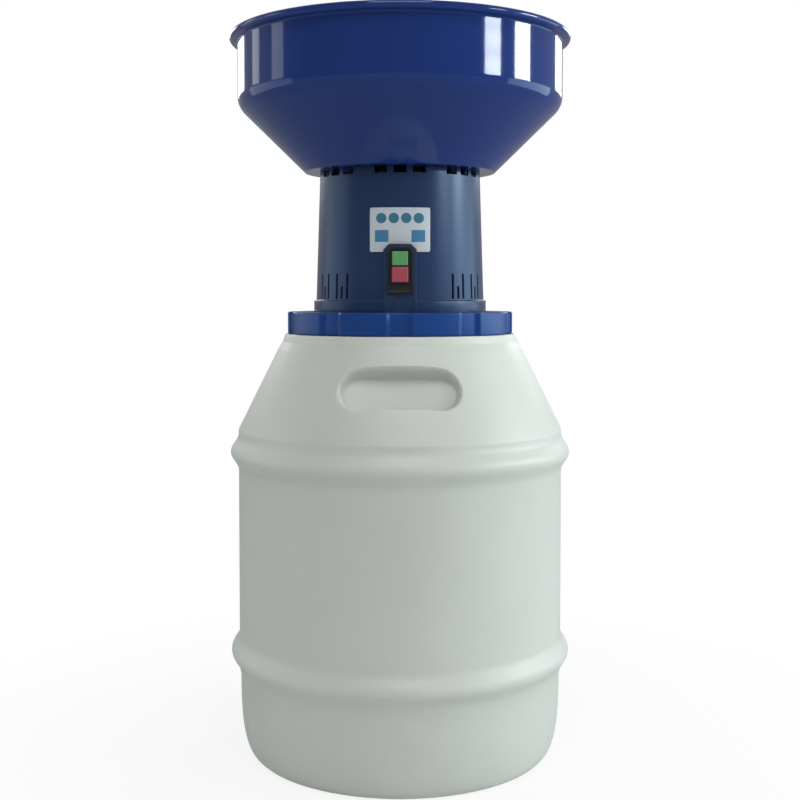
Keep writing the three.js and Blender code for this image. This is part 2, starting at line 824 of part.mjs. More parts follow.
function labelPlate() {
  const bottom = housingBottom + labelRise;
  const top = bottom + labelHeight;
  const half = labelWidth / 2;
  const r = labelCornerRadius;
  const shape = new THREE.Shape();
  shape.moveTo(-half + r, bottom);
  shape.lineTo(half - r, bottom);
  shape.absarc(half - r, bottom + r, r, -Math.PI / 2, 0);
  shape.absarc(half - r, top - r, r, 0, Math.PI / 2);
  shape.absarc(-half + r, top - r, r, Math.PI / 2, Math.PI);
  shape.absarc(-half + r, bottom + r, r, Math.PI, 3 * Math.PI / 2);
  const geometry = new THREE.ExtrudeGeometry(shape, {
    depth: collarRadius,
    bevelEnabled: false,
    curveSegments: labelCornerSteps,
  });
  const plan = solid(geometry.rotateX(Math.PI / 2));
  const wallRuns = [bottom - overrun, top + overrun];
  const near = wallRuns.map((height) => point(housingRadiusAt(height) + fitGap, height));
  const far = wallRuns.map((height) => point(housingRadiusAt(height) + fitGap + labelThickness, height));
  const film = turned([near[0], far[0], far[1], near[1], near[0].clone()]);
  const pad = frontPrism(padOutline(labelNotchGap), 0, -padFaceDistance - overrun);
  return cut(film.intersect(plan), pad);
}

// Hopper

function hopper() {
  const corner = point(hopperRadius, hopperBottom + hopperConeHeight);
  const floorEdge = point(hopperFloorRadius, hopperBottom);
  const flareStart = point(hopperRadius, hopperBottom + hopperHeight - rimFlareHeight);
  const outline = [
    point(0, hopperBottom), floorEdge,
    ...roundedCorner(floorEdge, corner, flareStart, hopperBendRadius, hopperBendSteps),
    flareStart,
  ];
  const beadCentre = point(rimRadius - rimBeadRadius, hopperBottom + hopperHeight - rimBeadRadius);
  const bead = Array.from({ length: rimBeadSteps + 1 }, (_, i) => {
    const angle = -Math.PI / 3 + i * 4 / 3 * Math.PI / rimBeadSteps;
    return point(rimBeadRadius, 0).rotateAround(point(0, 0), angle).add(beadCentre);
  });
  const bowl = turned([...outline, ...bead, ...inset(outline, hopperWall).reverse()]);
  const floorHole = (radius, [x, y], steps) => {
    return moved(bar(radius, hopperBottom - overrun, hopperFloorTop + overrun, steps), x, y);
  };
  return cut(
    bowl,
    floorHole(feedRadius, [-feedDistance, 0], pieceSteps),
    floorHole(shutterPivotScrewRadius + holeGap, [-feedDistance + shutterPivotDistance, 0], smallSteps),
    ...hopperScrewPlaces.map((place) => floorHole(screwRadius + holeGap, place, smallSteps)),
  );
}

function feedDuct() {
  return tube(feedRadius + ductWall, feedRadius, plateTop + fitGap, hopperBottom - fitGap, pieceSteps);
}

// Shutter, drawn with its pivot at the middle and its cover towards -X

function shutterPlate() {
  const bottom = hopperFloorTop + fitGap;
  const top = bottom + shutterThickness;
  const coverRadius = feedRadius + shutterCover;
  const disc = (radius, x) => moved(bar(radius, bottom, top), x, 0);
  const arm = block([-shutterPivotDistance, 0], [-shutterPivotRadius, shutterPivotRadius], [bottom, top]);
  const lever = block([0, shutterLeverLength], [-shutterLeverRadius, shutterLeverRadius], [bottom, top]);
  return cut(
    joined(disc(coverRadius, -shutterPivotDistance), disc(shutterPivotRadius, 0),
      disc(shutterLeverRadius, shutterLeverLength), arm, lever),
    bar(shutterPivotScrewRadius + holeGap, bottom - overrun, top + overrun, smallSteps),
  );
}

function shutterKnob() {
  const bottom = hopperFloorTop + fitGap + shutterThickness + fitGap;
  const top = bottom + knobHeight;
  const headBottom = top - knobHeadHeight;
  return turned([
    point(0, bottom), point(knobStemRadius, bottom), point(knobStemRadius, headBottom - knobSkirt),
    point(knobHeadRadius - knobSkirt, headBottom), point(knobHeadRadius, headBottom + knobSkirt),
    point(knobHeadRadius, top - 2 * knobSkirt), point(knobHeadRadius - knobSkirt, top - knobSkirt),
    point(knobStemRadius, top), point(0, top),
  ], pieceSteps);
}

function shutterPivotScrew() {
  const headBottom = hopperFloorTop + fitGap + shutterThickness + fitGap;
  return joined(
    bar(shutterPivotHeadRadius, headBottom, headBottom + shutterPivotHeadHeight, pieceSteps),
    bar(shutterPivotScrewRadius, hopperFloorTop - shutterPivotDepth, headBottom + lap, smallSteps),
  );
}

// A round-headed screw with its head's underside at the origin and its shank running down.
function screw(length) {
  return joined(
    turned([
      point(0, 0), point(screwHeadRadius, 0), point(screwHeadRadius, screwHeadHeight / 2),
      point(screwHeadRadius / 2, screwHeadHeight), point(0, screwHeadHeight),
    ], smallSteps),
    bar(screwRadius, -length, screwHeadHeight / 2, smallSteps),
  );
}

// Cable gland, turned about Z and then laid along Y

const glandHeight = housingBottom + glandRise;

function glandHole() {
  const near = housingTopRadius - housingWall - overrun;
  const hole = bar(glandThreadRadius + fitGap, near, collarRadius + overrun);
  return moved(hole.rotate([-90, 0, 0]), 0, 0, glandHeight);
}

function cableGland() {
  const seat = housingRadiusAt(glandHeight - glandHexRadius) + fitGap;
  const hexEnd = seat + glandHexLength;
  const body = joined(
    bar(glandThreadRadius, seat - glandThreadLength, seat + glandHexLength / 2),
    bar(glandHexRadius, seat, hexEnd, hexSteps),
    turned([
      point(0, hexEnd - glandHexLength / 2), point(glandDomeRadius, hexEnd - glandHexLength / 2),
      point(glandDomeRadius, hexEnd + glandDomeLength / 2),
      point((glandDomeRadius + glandBoreRadius) / 2, hexEnd + glandDomeLength),
      point(0, hexEnd + glandDomeLength),
    ], pieceSteps),
  );
  const bore = bar(glandBoreRadius, seat - glandThreadLength - overrun, hexEnd + glandDomeLength + overrun);
  return moved(cut(body, bore).rotate([-90, 0, 0]), 0, 0, glandHeight);
}

function glandNut() {
  const outside = housingRadiusAt(glandHeight + glandHexRadius);
  const inside = outside * Math.cos(Math.PI / bodySteps) - housingWall;
  const end = Math.sqrt(inside ** 2 - glandHexRadius ** 2) - fitGap;
  const nut = cut(
    bar(glandHexRadius, end - glandNutThickness, end, hexSteps),
    bar(glandThreadRadius + fitGap, end - glandNutThickness - overrun, end + overrun),
  );
  return moved(nut.rotate([-90, 0, 0]), 0, 0, glandHeight);
}

function terminalBlock() {
  const bottom = plateTop + fitGap;
  const body = block(
    [terminalDistance, terminalDistance + terminalLength],
    [-terminalWidth / 2, terminalWidth / 2],
    [bottom, bottom + terminalHeight],
  );
  const wireHoles = [-1, 1].map((side) => {
    const hole = bar(terminalHoleRadius, -overrun, terminalLength + overrun, smallSteps).rotate([0, 90, 0]);
    return moved(hole, terminalDistance, side * terminalHoleSpacing / 2, bottom + terminalHeight / 2);
  });
  return cut(body, ...wireHoles);
}

// Motor, at rest in the housing

function statorCore() {
  const inner = statorRadius - statorYoke;
  const pole = block(
    [-inner - lap, inner + lap], [-poleWidth / 2, poleWidth / 2], [statorBottom, statorTop],
  );
  return cut(
    joined(tube(statorRadius, inner, statorBottom, statorTop, pieceSteps), pole),
    bar(poleBoreRadius, statorBottom - overrun, statorTop + overrun, bodySteps),
    ...boltHolesBetween(statorBottom, statorTop),
  );
}

// A field coil wound round one pole: side 1 is at +X and side -1 at -X.
function fieldCoil(side) {
  const outer = statorRadius - statorYoke - coilYokeGap;
  const inner = outer - coilDepth;
  const halfWidth = poleWidth / 2 + fitGap;
  const run = (grow) => block(
    [0, outer + overrun],
    [-halfWidth - grow, halfWidth + grow],
    [statorBottom - fitGap - grow, statorTop + fitGap + grow],
  );
  const loop = cut(run(coilThickness), run(0));
  const reach = coilThickness + overrun;
  const ring = tube(outer, inner, statorBottom - reach, statorTop + reach, pieceSteps);
  const coil = loop.intersect(ring);
  return side > 0 ? coil : spun(coil, Math.PI);
}

function boltHolesBetween(bottom, top) {
  return boltPlaces.map(([x, y]) => {
    return moved(bar(boltRadius + holeGap, bottom - overrun, top + overrun, smallSteps), x, y);
  });
}

function bracketLegs(bottom, top) {
  return boltPlaces.map(([x, y]) => moved(bar(bracketLegRadius, bottom, top, smallSteps), x, y));
}

function lowerBracket() {
  const legTop = statorBottom - fitGap;
  const hubTop = lowerBracketTop + bracketHubHeight;
  return cut(
    joined(
      bar(bracketRadius, housingBottom, lowerBracketTop),
      bar(bracketHubRadius, housingBottom, hubTop),
      ...bracketLegs(housingBottom, legTop),
    ),
    bar(plateShaftHoleRadius, housingBottom - overrun, hubTop + overrun),
    bar(bearingRadius + fitGap, lowerBearingBottom - fitGap, hubTop + overrun),
    ...boltHolesBetween(housingBottom, legTop),
  );
}

function upperBracket() {
  const hubBottom = upperBracketTop - bracketHubHeight;
  return cut(
    joined(
      bar(bracketRadius, upperBracketBottom, upperBracketTop),
      bar(bracketHubRadius, hubBottom, upperBracketTop),
      ...bracketLegs(statorTop + fitGap, upperBracketTop),
    ),
    bar(plateShaftHoleRadius, hubBottom - overrun, upperBracketTop + overrun),
    bar(bearingRadius + fitGap, hubBottom - overrun, upperBracketTop - bearingSeat),
    ...boltHolesBetween(statorTop, upperBracketTop),
  );
}

function bearing(bottom) {
  return tube(bearingRadius, shaftRadius + fitGap, bottom, bottom + bearingWidth, pieceSteps);
}

// A long bolt with its head on the upper bracket and its foot in the base plate.
function motorBolt() {
  const headBottom = upperBracketTop + fitGap;
  return joined(
    bar(boltHeadRadius, headBottom, headBottom + boltHeadHeight, hexSteps),
    bar(boltRadius, plateBottom + fitGap, headBottom + boltHeadHeight / 2, smallSteps),
  );
}

const brushHeightCentre = commutatorBottom + commutatorLength / 2;

function brushHolder(side) {
  const halfWidth = brushWidth / 2 + fitGap + brushHolderWall;
  const halfHeight = brushHeight / 2 + fitGap + brushHolderWall;
  const near = commutatorRadius + brushHolderGap;
  const far = near + brushHolderLength;
  const across = [-halfWidth, halfWidth];
  const holder = joined(
    block(across, [near, far], [brushHeightCentre - halfHeight, brushHeightCentre + halfHeight]),
    block(across, [far - brushLugLength, far], [brushHeightCentre, upperBracketBottom - fitGap]),
  );
  const slot = block(
    [-brushWidth / 2 - fitGap, brushWidth / 2 + fitGap],
    [near - overrun, far + overrun],
    [brushHeightCentre - brushHeight / 2 - fitGap, brushHeightCentre + brushHeight / 2 + fitGap],
  );
  const piece = cut(holder, slot);
  return side > 0 ? piece : spun(piece, Math.PI);
}

function carbonBrush(side) {
  const near = commutatorRadius + fitGap;
  const piece = block(
    [-brushWidth / 2, brushWidth / 2],
    [near, near + brushLength],
    [brushHeightCentre - brushHeight / 2, brushHeightCentre + brushHeight / 2],
  );
  return side > 0 ? piece : spun(piece, Math.PI);
}

// Rotor

function rotorShaft() {
  const bottom = bladeNutBottom - shaftNutReach;
  return turned([
    point(0, bottom), point(shaftRadius - shaftTipLength / 2, bottom),
    point(shaftRadius, bottom + shaftTipLength), point(shaftRadius, shaftTop), point(0, shaftTop),
  ], pieceSteps);
}

// The armature's core, with a closed slot for each winding bar.
function armatureCore() {
  const pitch = 2 * Math.PI / armatureSlots;
  const core = cut(
    bar(armatureRadius, statorBottom, statorTop, bodySteps),
    bar(shaftRadius + fitGap, statorBottom - overrun, statorTop + overrun, pieceSteps),
  );
  const slots = [];
  for (let i = 0; i < armatureSlots; i++) {
    const far = armatureRadius - armatureNeck;
    const bed = block(
      [far - armatureSlotDepth, far],
      [-armatureSlotWidth / 2, armatureSlotWidth / 2],
      [statorBottom - overrun, statorTop + overrun],
    );
    slots.push(spun(bed, (i + 0.5) * pitch));
  }
  return cut(core, ...slots);
}

function armatureWinding() {
  const pitch = 2 * Math.PI / armatureSlots;
  const outer = armatureRadius - armatureNeck - windingGap;
  const head = (bottom) => {
    return tube(outer, windingInnerRadius, bottom, bottom + windingHeadHeight - fitGap, pieceSteps);
  };
  const bars = [];
  for (let i = 0; i < armatureSlots; i++) {
    const run = block(
      [outer - armatureSlotDepth + 2 * windingGap, outer - windingGap],
      [-armatureSlotWidth / 2 + windingGap, armatureSlotWidth / 2 - windingGap],
      [statorBottom - windingHeadHeight / 2, statorTop + windingHeadHeight / 2],
    );
    bars.push(spun(run, (i + 0.5) * pitch));
  }
  return joined(head(statorBottom - windingHeadHeight), head(statorTop + fitGap), ...bars);
}

function commutator() {
  const top = commutatorBottom + commutatorLength;
  return tube(commutatorRadius, shaftRadius + fitGap, commutatorBottom, top, pieceSteps);
}

function coolingFan() {
  const discTop = fanBottom + fanDiscThickness;
  const top = discTop + fanBladeHeight;
  const blades = [];
  for (let i = 0; i < fanBlades; i++) {
    const blade = block(
      [fanHubRadius - fanBladeThickness, fanRadius],
      [-fanBladeThickness / 2, fanBladeThickness / 2],
      [discTop - fanDiscThickness / 2, top],
    );
    blades.push(spun(blade, i * 2 * Math.PI / fanBlades));
  }
  return cut(
    joined(bar(fanRadius, fanBottom, discTop), bar(fanHubRadius, fanBottom, top), ...blades),
    bar(shaftRadius + fitGap, fanBottom - overrun, top + overrun),
  );
}

// A flat bar with its two leading edges ground back.
function hammerBlade() {
  const half = bladeLength / 2;
  const side = bladeWidth / 2;
  const outline = polygon([
    [-half + bladeBevel, -side], [half, -side], [half, side - bladeBevel],
    [half - bladeBevel, side], [-half, side], [-half, -side + bladeBevel],
  ]);
  return cut(
    uprightPrism(outline, bladeBottom, bladeTop),
    bar(shaftRadius + fitGap, bladeBottom - overrun, bladeTop + overrun),
  );
}

function bladeSleeve() {
  const bore = shaftRadius + fitGap;
  return tube(bladeSleeveRadius, bore, bladeTop + fitGap, lowerBearingBottom - fitGap, pieceSteps);
}

function bladeNut() {
  return cut(
    bar(bladeNutRadius, bladeNutBottom, bladeBottom - fitGap, hexSteps),
    bar(shaftRadius + fitGap, bladeNutBottom - overrun, bladeBottom + overrun),
  );
}

// Sieve and what clamps it

function sieveBand() {
  const band = tube(sieveRadius, sieveRadius - sieveSheet, sieveBottom, sieveTop);
  const [near, far] = [sieveRadius - sieveSheet - overrun, sieveRadius + overrun];
  const holes = [];
  for (let row = 0; row < sieveHoleRows; row++) {
    const height = sieveBottom + sieveHeight * sieveRowShare * (row + 1);
    for (let i = 0; i < sieveHolesPerRow; i++) {
      const hole = bar(sieveHoleRadius, near, far, hexSteps);
      const angle = (i + row % 2 / 2) * 2 * Math.PI / sieveHolesPerRow;
      holes.push(moved(spun(hole.rotate([0, 90, 0]), angle), 0, 0, height));
    }
  }
  return cut(band, ...holes);
}

function sieveDisc() {
  const hole = bar(studRadius + holeGap, sieveDiscBottom - overrun, sieveDiscTop + overrun, smallSteps);
  const holes = studPlaces.map(([x, y]) => moved(hole, x, y));
  return cut(bar(sieveDiscRadius, sieveDiscBottom, sieveDiscTop, bodySteps), ...holes);
}

function sieveStud() {
  return bar(studRadius, sieveDiscBottom - studTail, plateBottom + studSeat, smallSteps);
}

function wingNut() {
  const bottom = wingNutTop - wingNutHeight;
  const wings = block(
    [-wingSpan / 2, wingSpan / 2], [-wingThickness / 2, wingThickness / 2], [bottom, bottom + wingHeight],
  );
  return cut(
    joined(bar(wingNutRadius, bottom, wingNutTop, smallSteps), wings),
    bar(studRadius + fitGap, bottom - overrun, wingNutTop + overrun, smallSteps),
  );
}

// Assembly

function addPiece(group, name, piece, material, x = 0, y = 0, z = 0) {
  const mesh = new THREE.Mesh(geometryOf(piece), material);
  mesh.name = name;
  mesh.position.set(x, y, z);
  group.add(mesh);
  return mesh;
}

const group = new THREE.Group();
const head = new THREE.Group();
const rotor = new THREE.Group();
head.add(rotor);
group.add(head);

addPiece(group, 'barrel', barrel(), palePlastic);

addPiece(head, 'rim_gasket', rimGasket(), softRubber);
addPiece(head, 'base_plate', basePlate(), platePlastic);
addPiece(head, 'ring_nut', ringNut(), ringPlastic);
addPiece(head, 'housing_shell', housingShell(), housingPlastic);
addPiece(head, 'hopper', hopper(), hopperPlastic);
addPiece(head, 'feed_duct', feedDuct(), blackPlastic, -feedDistance);

hopperScrewPlaces.forEach(([x, y], i) => {
  const z = hopperFloorTop + fitGap;
  addPiece(head, `hopper_screw_${i + 1}`, screw(hopperScrewLength), zincSteel, x, y, z);
});
baseScrewPlaces.forEach(([x, y], i) => {
  const z = plateBottom - fitGap;
  const mesh = addPiece(head, `base_screw_${i + 1}`, screw(baseScrewLength), zincSteel, x, y, z);
  mesh.rotation.x = Math.PI;
});

addPiece(head, 'switch_body', switchBody(), blackPlastic);
addPiece(head, 'start_button', button(startWidth, startHeight, startTop), greenPlastic);
addPiece(head, 'stop_button', button(stopWidth, stopHeight, stopTop), redPlastic);
addPiece(head, 'label_plate', labelPlate(), labelFilm);
addPiece(head, 'cable_gland', cableGland(), blackPlastic);
addPiece(head, 'gland_nut', glandNut(), blackPlastic);
addPiece(head, 'terminal_block', terminalBlock(), creamPlastic);

const pivotX = -feedDistance + shutterPivotDistance;
addPiece(head, 'shutter_plate', shutterPlate(), zincSteel, pivotX);
addPiece(head, 'shutter_knob', shutterKnob(), blackPlastic, pivotX + shutterLeverLength);
addPiece(head, 'shutter_pivot_screw', shutterPivotScrew(), zincSteel, pivotX);

addPiece(head, 'stator_core', statorCore(), laminatedSteel);
addPiece(head, 'field_coil_right', fieldCoil(1), copper);
addPiece(head, 'field_coil_left', fieldCoil(-1), copper);
addPiece(head, 'motor_bracket_lower', lowerBracket(), castAluminium);
addPiece(head, 'motor_bracket_upper', upperBracket(), castAluminium);
addPiece(head, 'bearing_lower', bearing(lowerBearingBottom), brightSteel);
addPiece(head, 'bearing_upper', bearing(upperBearingBottom), brightSteel);
addPiece(head, 'brush_holder_front', brushHolder(-1), castAluminium);
addPiece(head, 'brush_holder_back', brushHolder(1), castAluminium);
addPiece(head, 'carbon_brush_front', carbonBrush(-1), carbon);
addPiece(head, 'carbon_brush_back', carbonBrush(1), carbon);
boltPlaces.forEach(([x, y], i) => {
  addPiece(head, `motor_bolt_${i + 1}`, motorBolt(), zincSteel, x, y);
});

addPiece(head, 'sieve_band', sieveBand(), brightSteel);
addPiece(head, 'sieve_disc', sieveDisc(), zincSteel);
studPlaces.forEach(([x, y], i) => {
  addPiece(head, `sieve_stud_${i + 1}`, sieveStud(), zincSteel, x, y);
  addPiece(head, `wing_nut_${i + 1}`, wingNut(), zincSteel, x, y);
});

addPiece(rotor, 'rotor_shaft', rotorShaft(), brightSteel);
addPiece(rotor, 'armature_core', armatureCore(), laminatedSteel);
addPiece(rotor, 'armature_winding', armatureWinding(), copper);
addPiece(rotor, 'commutator', commutator(), copper);
addPiece(rotor, 'cooling_fan', coolingFan(), blackPlastic);
addPiece(rotor, 'blade_sleeve', bladeSleeve(), zincSteel);
addPiece(rotor, 'hammer_blade', hammerBlade(), brightSteel);
addPiece(rotor, 'blade_nut', bladeNut(), zincSteel);

export default group;
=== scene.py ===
"""Models an electric grain mill on its flour barrel and dresses it for a studio picture."""

import math

import bmesh
import bpy
from bpy.props import FloatProperty, FloatVectorProperty, IntProperty, PointerProperty
from bpy.types import Operator, Panel, PropertyGroup
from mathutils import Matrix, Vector


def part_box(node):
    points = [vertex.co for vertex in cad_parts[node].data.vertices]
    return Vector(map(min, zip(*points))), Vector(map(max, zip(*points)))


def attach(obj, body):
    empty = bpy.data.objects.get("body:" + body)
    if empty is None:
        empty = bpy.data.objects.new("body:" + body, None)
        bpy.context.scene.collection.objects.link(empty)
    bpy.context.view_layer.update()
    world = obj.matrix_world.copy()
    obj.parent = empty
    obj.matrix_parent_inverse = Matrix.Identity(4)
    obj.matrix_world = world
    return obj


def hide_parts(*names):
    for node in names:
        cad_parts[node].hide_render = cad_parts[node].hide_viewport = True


bl_info = {
    "name": "Grain Mill",
    "version": (1, 0, 0),
    "blender": (4, 5, 0),
    "location": "View3D > Sidebar > Grain Mill",
    "description": "Models an electric grain mill that stands on its own flour barrel",
    "category": "Object",
}

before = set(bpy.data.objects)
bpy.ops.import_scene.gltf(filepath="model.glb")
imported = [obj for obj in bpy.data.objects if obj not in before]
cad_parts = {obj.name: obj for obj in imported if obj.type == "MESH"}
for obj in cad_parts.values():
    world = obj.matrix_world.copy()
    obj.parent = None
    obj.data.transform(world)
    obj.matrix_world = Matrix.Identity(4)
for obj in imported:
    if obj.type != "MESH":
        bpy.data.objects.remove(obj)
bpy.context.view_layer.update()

FULL_TURN = 2 * math.pi
# Largest turn between two points of a rounded corner
ARC_STEP = math.radians(9)
# Points of a spun mesh that lie closer than this are one point, in metres
DOUBLES = 0.000004
# Distance of a holding point from the end of a long stretch, in metres
HOLD_REACH = 0.002

# Heights, places and holes that pieces share, in metres
PLATE_FOOT, PLATE_TOP = (corner.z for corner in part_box("base_plate"))
HOUSING_FOOT, HOUSING_TOP = (corner.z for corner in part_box("housing_shell"))
HOPPER_FOOT, HOPPER_TOP = (corner.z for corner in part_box("hopper"))
HOPPER_FLOOR = HOPPER_FOOT + 0.003
FEED_X = -0.0725
FEED_RADIUS = 0.0145
PIVOT_X = FEED_X + 0.036
KNOB_X = -0.014
HOPPER_SCREW_CIRCLE = 0.0885
BASE_SCREW_CIRCLE = 0.096
STUD_CIRCLE = 0.098
SCREW_HOLE = 0.0024
PIN_HOLE = 0.0034
GLAND_HOLE = 0.0083
GLAND_BORE = 0.0045
SHAFT_HOLE = 0.0063
# How far a cutter reaches past what it cuts
PAST = 0.01


# Properties


def linear(red, green, blue):
    """A colour as seen on a screen, from 0 to 255, turned into Blender's linear values."""
    values = [channel / 255 for channel in (red, green, blue)]
    return tuple(v / 12.92 if v <= 0.04045 else ((v + 0.055) / 1.055) ** 2.4 for v in values)


def length(name, description, default):
    """A length in metres."""
    return FloatProperty(
        name=name, description=description, default=default, min=0,
        unit="LENGTH", subtype="DISTANCE", precision=4,
    )


def turn(name, description, default):
    """An angle, given in degrees and kept in radians."""
    return FloatProperty(
        name=name, description=description, default=math.radians(default),
        unit="ROTATION", subtype="ANGLE",
    )


def colour(name, description, *screen):
    """A colour, given as it is seen on a screen."""
    return FloatVectorProperty(
        name=name, description=description, default=linear(*screen), size=3, min=0, max=1,
        subtype="COLOR",
    )


class MILL_PG_barrel(PropertyGroup):
    """Sizes and colour of the flour barrel."""

    radius: length("Radius", "Radius of the straight side between the hoops", 0.1926)
    wall: length("Wall", "Thickness of the blown wall", 0.0035)
    hoop_rise: length("Hoop Rise", "How far a hoop swells past the side", 0.0094)
    grip_width: length("Grip Width", "Width of a hand grip in the shoulder", 0.132)
    grip_height: length("Grip Height", "Height of a hand grip along the shoulder", 0.047)
    grip_depth: length("Grip Depth", "Depth of a hand grip, square to the shoulder", 0.024)
    colour: colour("Colour", "Colour of the natural polyethylene", 206, 213, 204)


class MILL_PG_ring(PropertyGroup):
    """Sizes and colour of the screw ring."""

    radius: length("Radius", "Outer radius of the ring's lobes", 0.134)
    lobes: IntProperty(name="Lobes", description="Number of grip lobes", default=10, min=3)
    recess: length("Recess", "Depth of the recess between two lobes", 0.0045)
    colour: colour("Colour", "Colour of the ring", 24, 62, 130)


class MILL_PG_housing(PropertyGroup):
    """Sizes and colour of the motor housing."""

    collar_radius: length("Collar Radius", "Outer radius of the collar at the foot", 0.1026)
    foot_radius: length("Foot Radius", "Outer radius of the wall above the collar", 0.0998)
    top_radius: length("Top Radius", "Outer radius of the wall under the hopper", 0.095)
    wall: length("Wall", "Thickness of the wall", 0.003)
    colour: colour("Colour", "Colour of the housing", 38, 56, 92)


class MILL_PG_hopper(PropertyGroup):
    """Sizes and colour of the hopper."""

    radius: length("Radius", "Outer radius of the upright wall", 0.192)
    bend: length("Bend", "Radius of the bend between cone and wall", 0.024)
    bead: length("Bead", "Radius of the rim's bead", 0.0042)
    colour: colour("Colour", "Colour of the hopper", 29, 53, 116)


class MILL_PG_switch(PropertyGroup):
    """Colours of the switch's buttons and the label above it."""

    start_colour: colour("Start Colour", "Colour of the start button", 92, 158, 104)
    stop_colour: colour("Stop Colour", "Colour of the stop button", 168, 74, 88)
    label_colour: colour("Label Colour", "Colour of the label's film", 196, 206, 212)


class MILL_PG_sieve(PropertyGroup):
    """Counts of the sieve round the blade."""

    columns: IntProperty(name="Columns", description="Holes round the sieve", default=132, min=12)
    rows: IntProperty(name="Rows", description="Rows of holes in the sieve", default=11, min=1)


class MILL_PG_stage(PropertyGroup):
    """Camera and floor of the picture."""

    distance: length("Distance", "From the object's axis to the camera", 1.5)
    height: length("Height", "Height of the camera above the floor", 0.544)
    tilt: turn("Tilt", "How far the camera looks down", 2.4)
    focal: FloatProperty(
        name="Focal Length", description="Focal length of the lens", default=56.25, unit="CAMERA",
    )
    shift: FloatProperty(name="Shift", description="Shift of the lens upwards", default=-0.0658)
    floor: colour("Floor", "Colour of the floor", 238, 238, 238)


# Modelling helpers


def begin(name, add_primitive, **options):
    """Adds a primitive as the only selected object."""
    bpy.ops.object.select_all(action="DESELECT")
    add_primitive(**options)
    piece = bpy.context.active_object
    piece.name = name
    piece.data.name = name
    return piece


def activate(piece):
    """Makes a piece the only selected object and the active one."""
    bpy.ops.object.select_all(action="DESELECT")
    piece.select_set(True)
    bpy.context.view_layer.objects.active = piece


def edit(piece):
    """Opens a piece in edit mode with nothing selected."""
    activate(piece)
    bpy.ops.object.mode_set(mode="EDIT")
    bpy.ops.mesh.select_all(action="DESELECT")


def leave():
    """Goes back to object mode."""
    bpy.ops.object.mode_set(mode="OBJECT")


def pick(kind, test):
    """Selects the vertices, edges or faces that pass a test, and nothing else."""
    bpy.ops.mesh.select_mode(type=kind)
    bpy.ops.mesh.select_all(action="DESELECT")
    piece = bpy.context.edit_object
    mesh = bmesh.from_edit_mesh(piece.data)
    parts = {"VERT": mesh.verts, "EDGE": mesh.edges, "FACE": mesh.faces}[kind]
    for part in parts:
        if test(part):
            part.select_set(True)
    mesh.select_flush_mode()
    bmesh.update_edit_mesh(piece.data)


def modify(piece, kind, **settings):
    """Puts a modifier on a piece and applies it."""
    modifier = piece.modifiers.new(kind.title(), kind)
    for key, value in settings.items():
        setattr(modifier, key, value)
    activate(piece)
    bpy.ops.object.modifier_apply(modifier=modifier.name)


def merge(piece, other, operation):
    """Joins another piece to this one or cuts it out, and removes the other."""
    modify(piece, "BOOLEAN", object=other, operation=operation, solver="EXACT")
    bpy.data.objects.remove(other)


def bevelled(piece, width, segments=2, angle=35):
    """Rounds the sharp edges of a piece."""
    modify(
        piece, "BEVEL", width=width, segments=segments, limit_method="ANGLE",
        angle_limit=math.radians(angle), use_clamp_overlap=True, harden_normals=False,
    )


def softened(corners, closed=True):
    """An outline from corners of (across, up, radius), each rounded by its own radius."""
    outline = []
    last = len(corners) - 1
    for index, (across, up, radius) in enumerate(corners):
        here = Vector((across, up))
        if not radius or (not closed and index in (0, last)):
            outline.append(here)
            continue
        back = (Vector(corners[index - 1][:2]) - here).normalized()
        ahead = (Vector(corners[(index + 1) % len(corners)][:2]) - here).normalized()
        corner = back.angle(ahead)
        centre = here + (back + ahead).normalized() * radius / math.sin(corner / 2)
        first = here + back * radius / math.tan(corner / 2) - centre
        final = here + ahead * radius / math.tan(corner / 2) - centre
        sweep = math.atan2(first.x * final.y - first.y * final.x, first.dot(final))
        steps = max(2, math.ceil(abs(sweep) / ARC_STEP))
        for step in range(steps + 1):
            angle = sweep * step / steps
            outline.append(centre + Vector((
                first.x * math.cos(angle) - first.y * math.sin(angle),
                first.x * math.sin(angle) + first.y * math.cos(angle),
            )))
    return outline


def held(outline):
    """An outline with a point near both ends of each long stretch, which keeps it straight."""
    points = [Vector(outline[0])]
    for point in outline[1:]:
        along = Vector(point) - points[-1]
        if along.length > 5 * HOLD_REACH:
            step = along.normalized() * HOLD_REACH
            points += [points[-1] + step, Vector(point) - step]
        points.append(Vector(point))
    return points


def trace(name, places):
    """A wire through places, made from a plane that is merged to a point and extruded."""
    piece = begin(name, bpy.ops.mesh.primitive_plane_add, size=0.01)
    bpy.ops.object.mode_set(mode="EDIT")
    bpy.ops.mesh.select_mode(type="VERT")
    bpy.ops.mesh.select_all(action="SELECT")
    bpy.ops.mesh.merge(type="CENTER")
    here = Vector(places[0])
    bpy.ops.transform.translate(value=here)
    for place in places[1:]:
        there = Vector(place)
        bpy.ops.mesh.extrude_vertices_move(TRANSFORM_OT_translate={"value": there - here})
        here = there
    return piece


def turned(name, outline, steps, closed=False, centre=(0, 0, 0), along="Z"):
    """Spins an outline of (out, up) points round an axis through the centre."""
    axis = Vector((0, 0, 1)) if along == "Z" else Vector((0, 1, 0))
    out = Vector((1, 0, 0))
    points = [Vector(centre) + out * p[0] + axis * p[1] for p in outline]
    if closed:
        points.append(points[0].copy())
    piece = trace(name, points)
    bpy.ops.mesh.select_all(action="SELECT")
    bpy.ops.mesh.spin(steps=steps, angle=FULL_TURN, center=centre, axis=axis)
    bpy.ops.mesh.select_all(action="SELECT")
    bpy.ops.mesh.remove_doubles(threshold=DOUBLES)
    bpy.ops.mesh.select_all(action="SELECT")
    bpy.ops.mesh.normals_make_consistent(inside=False)
    leave()
    return piece


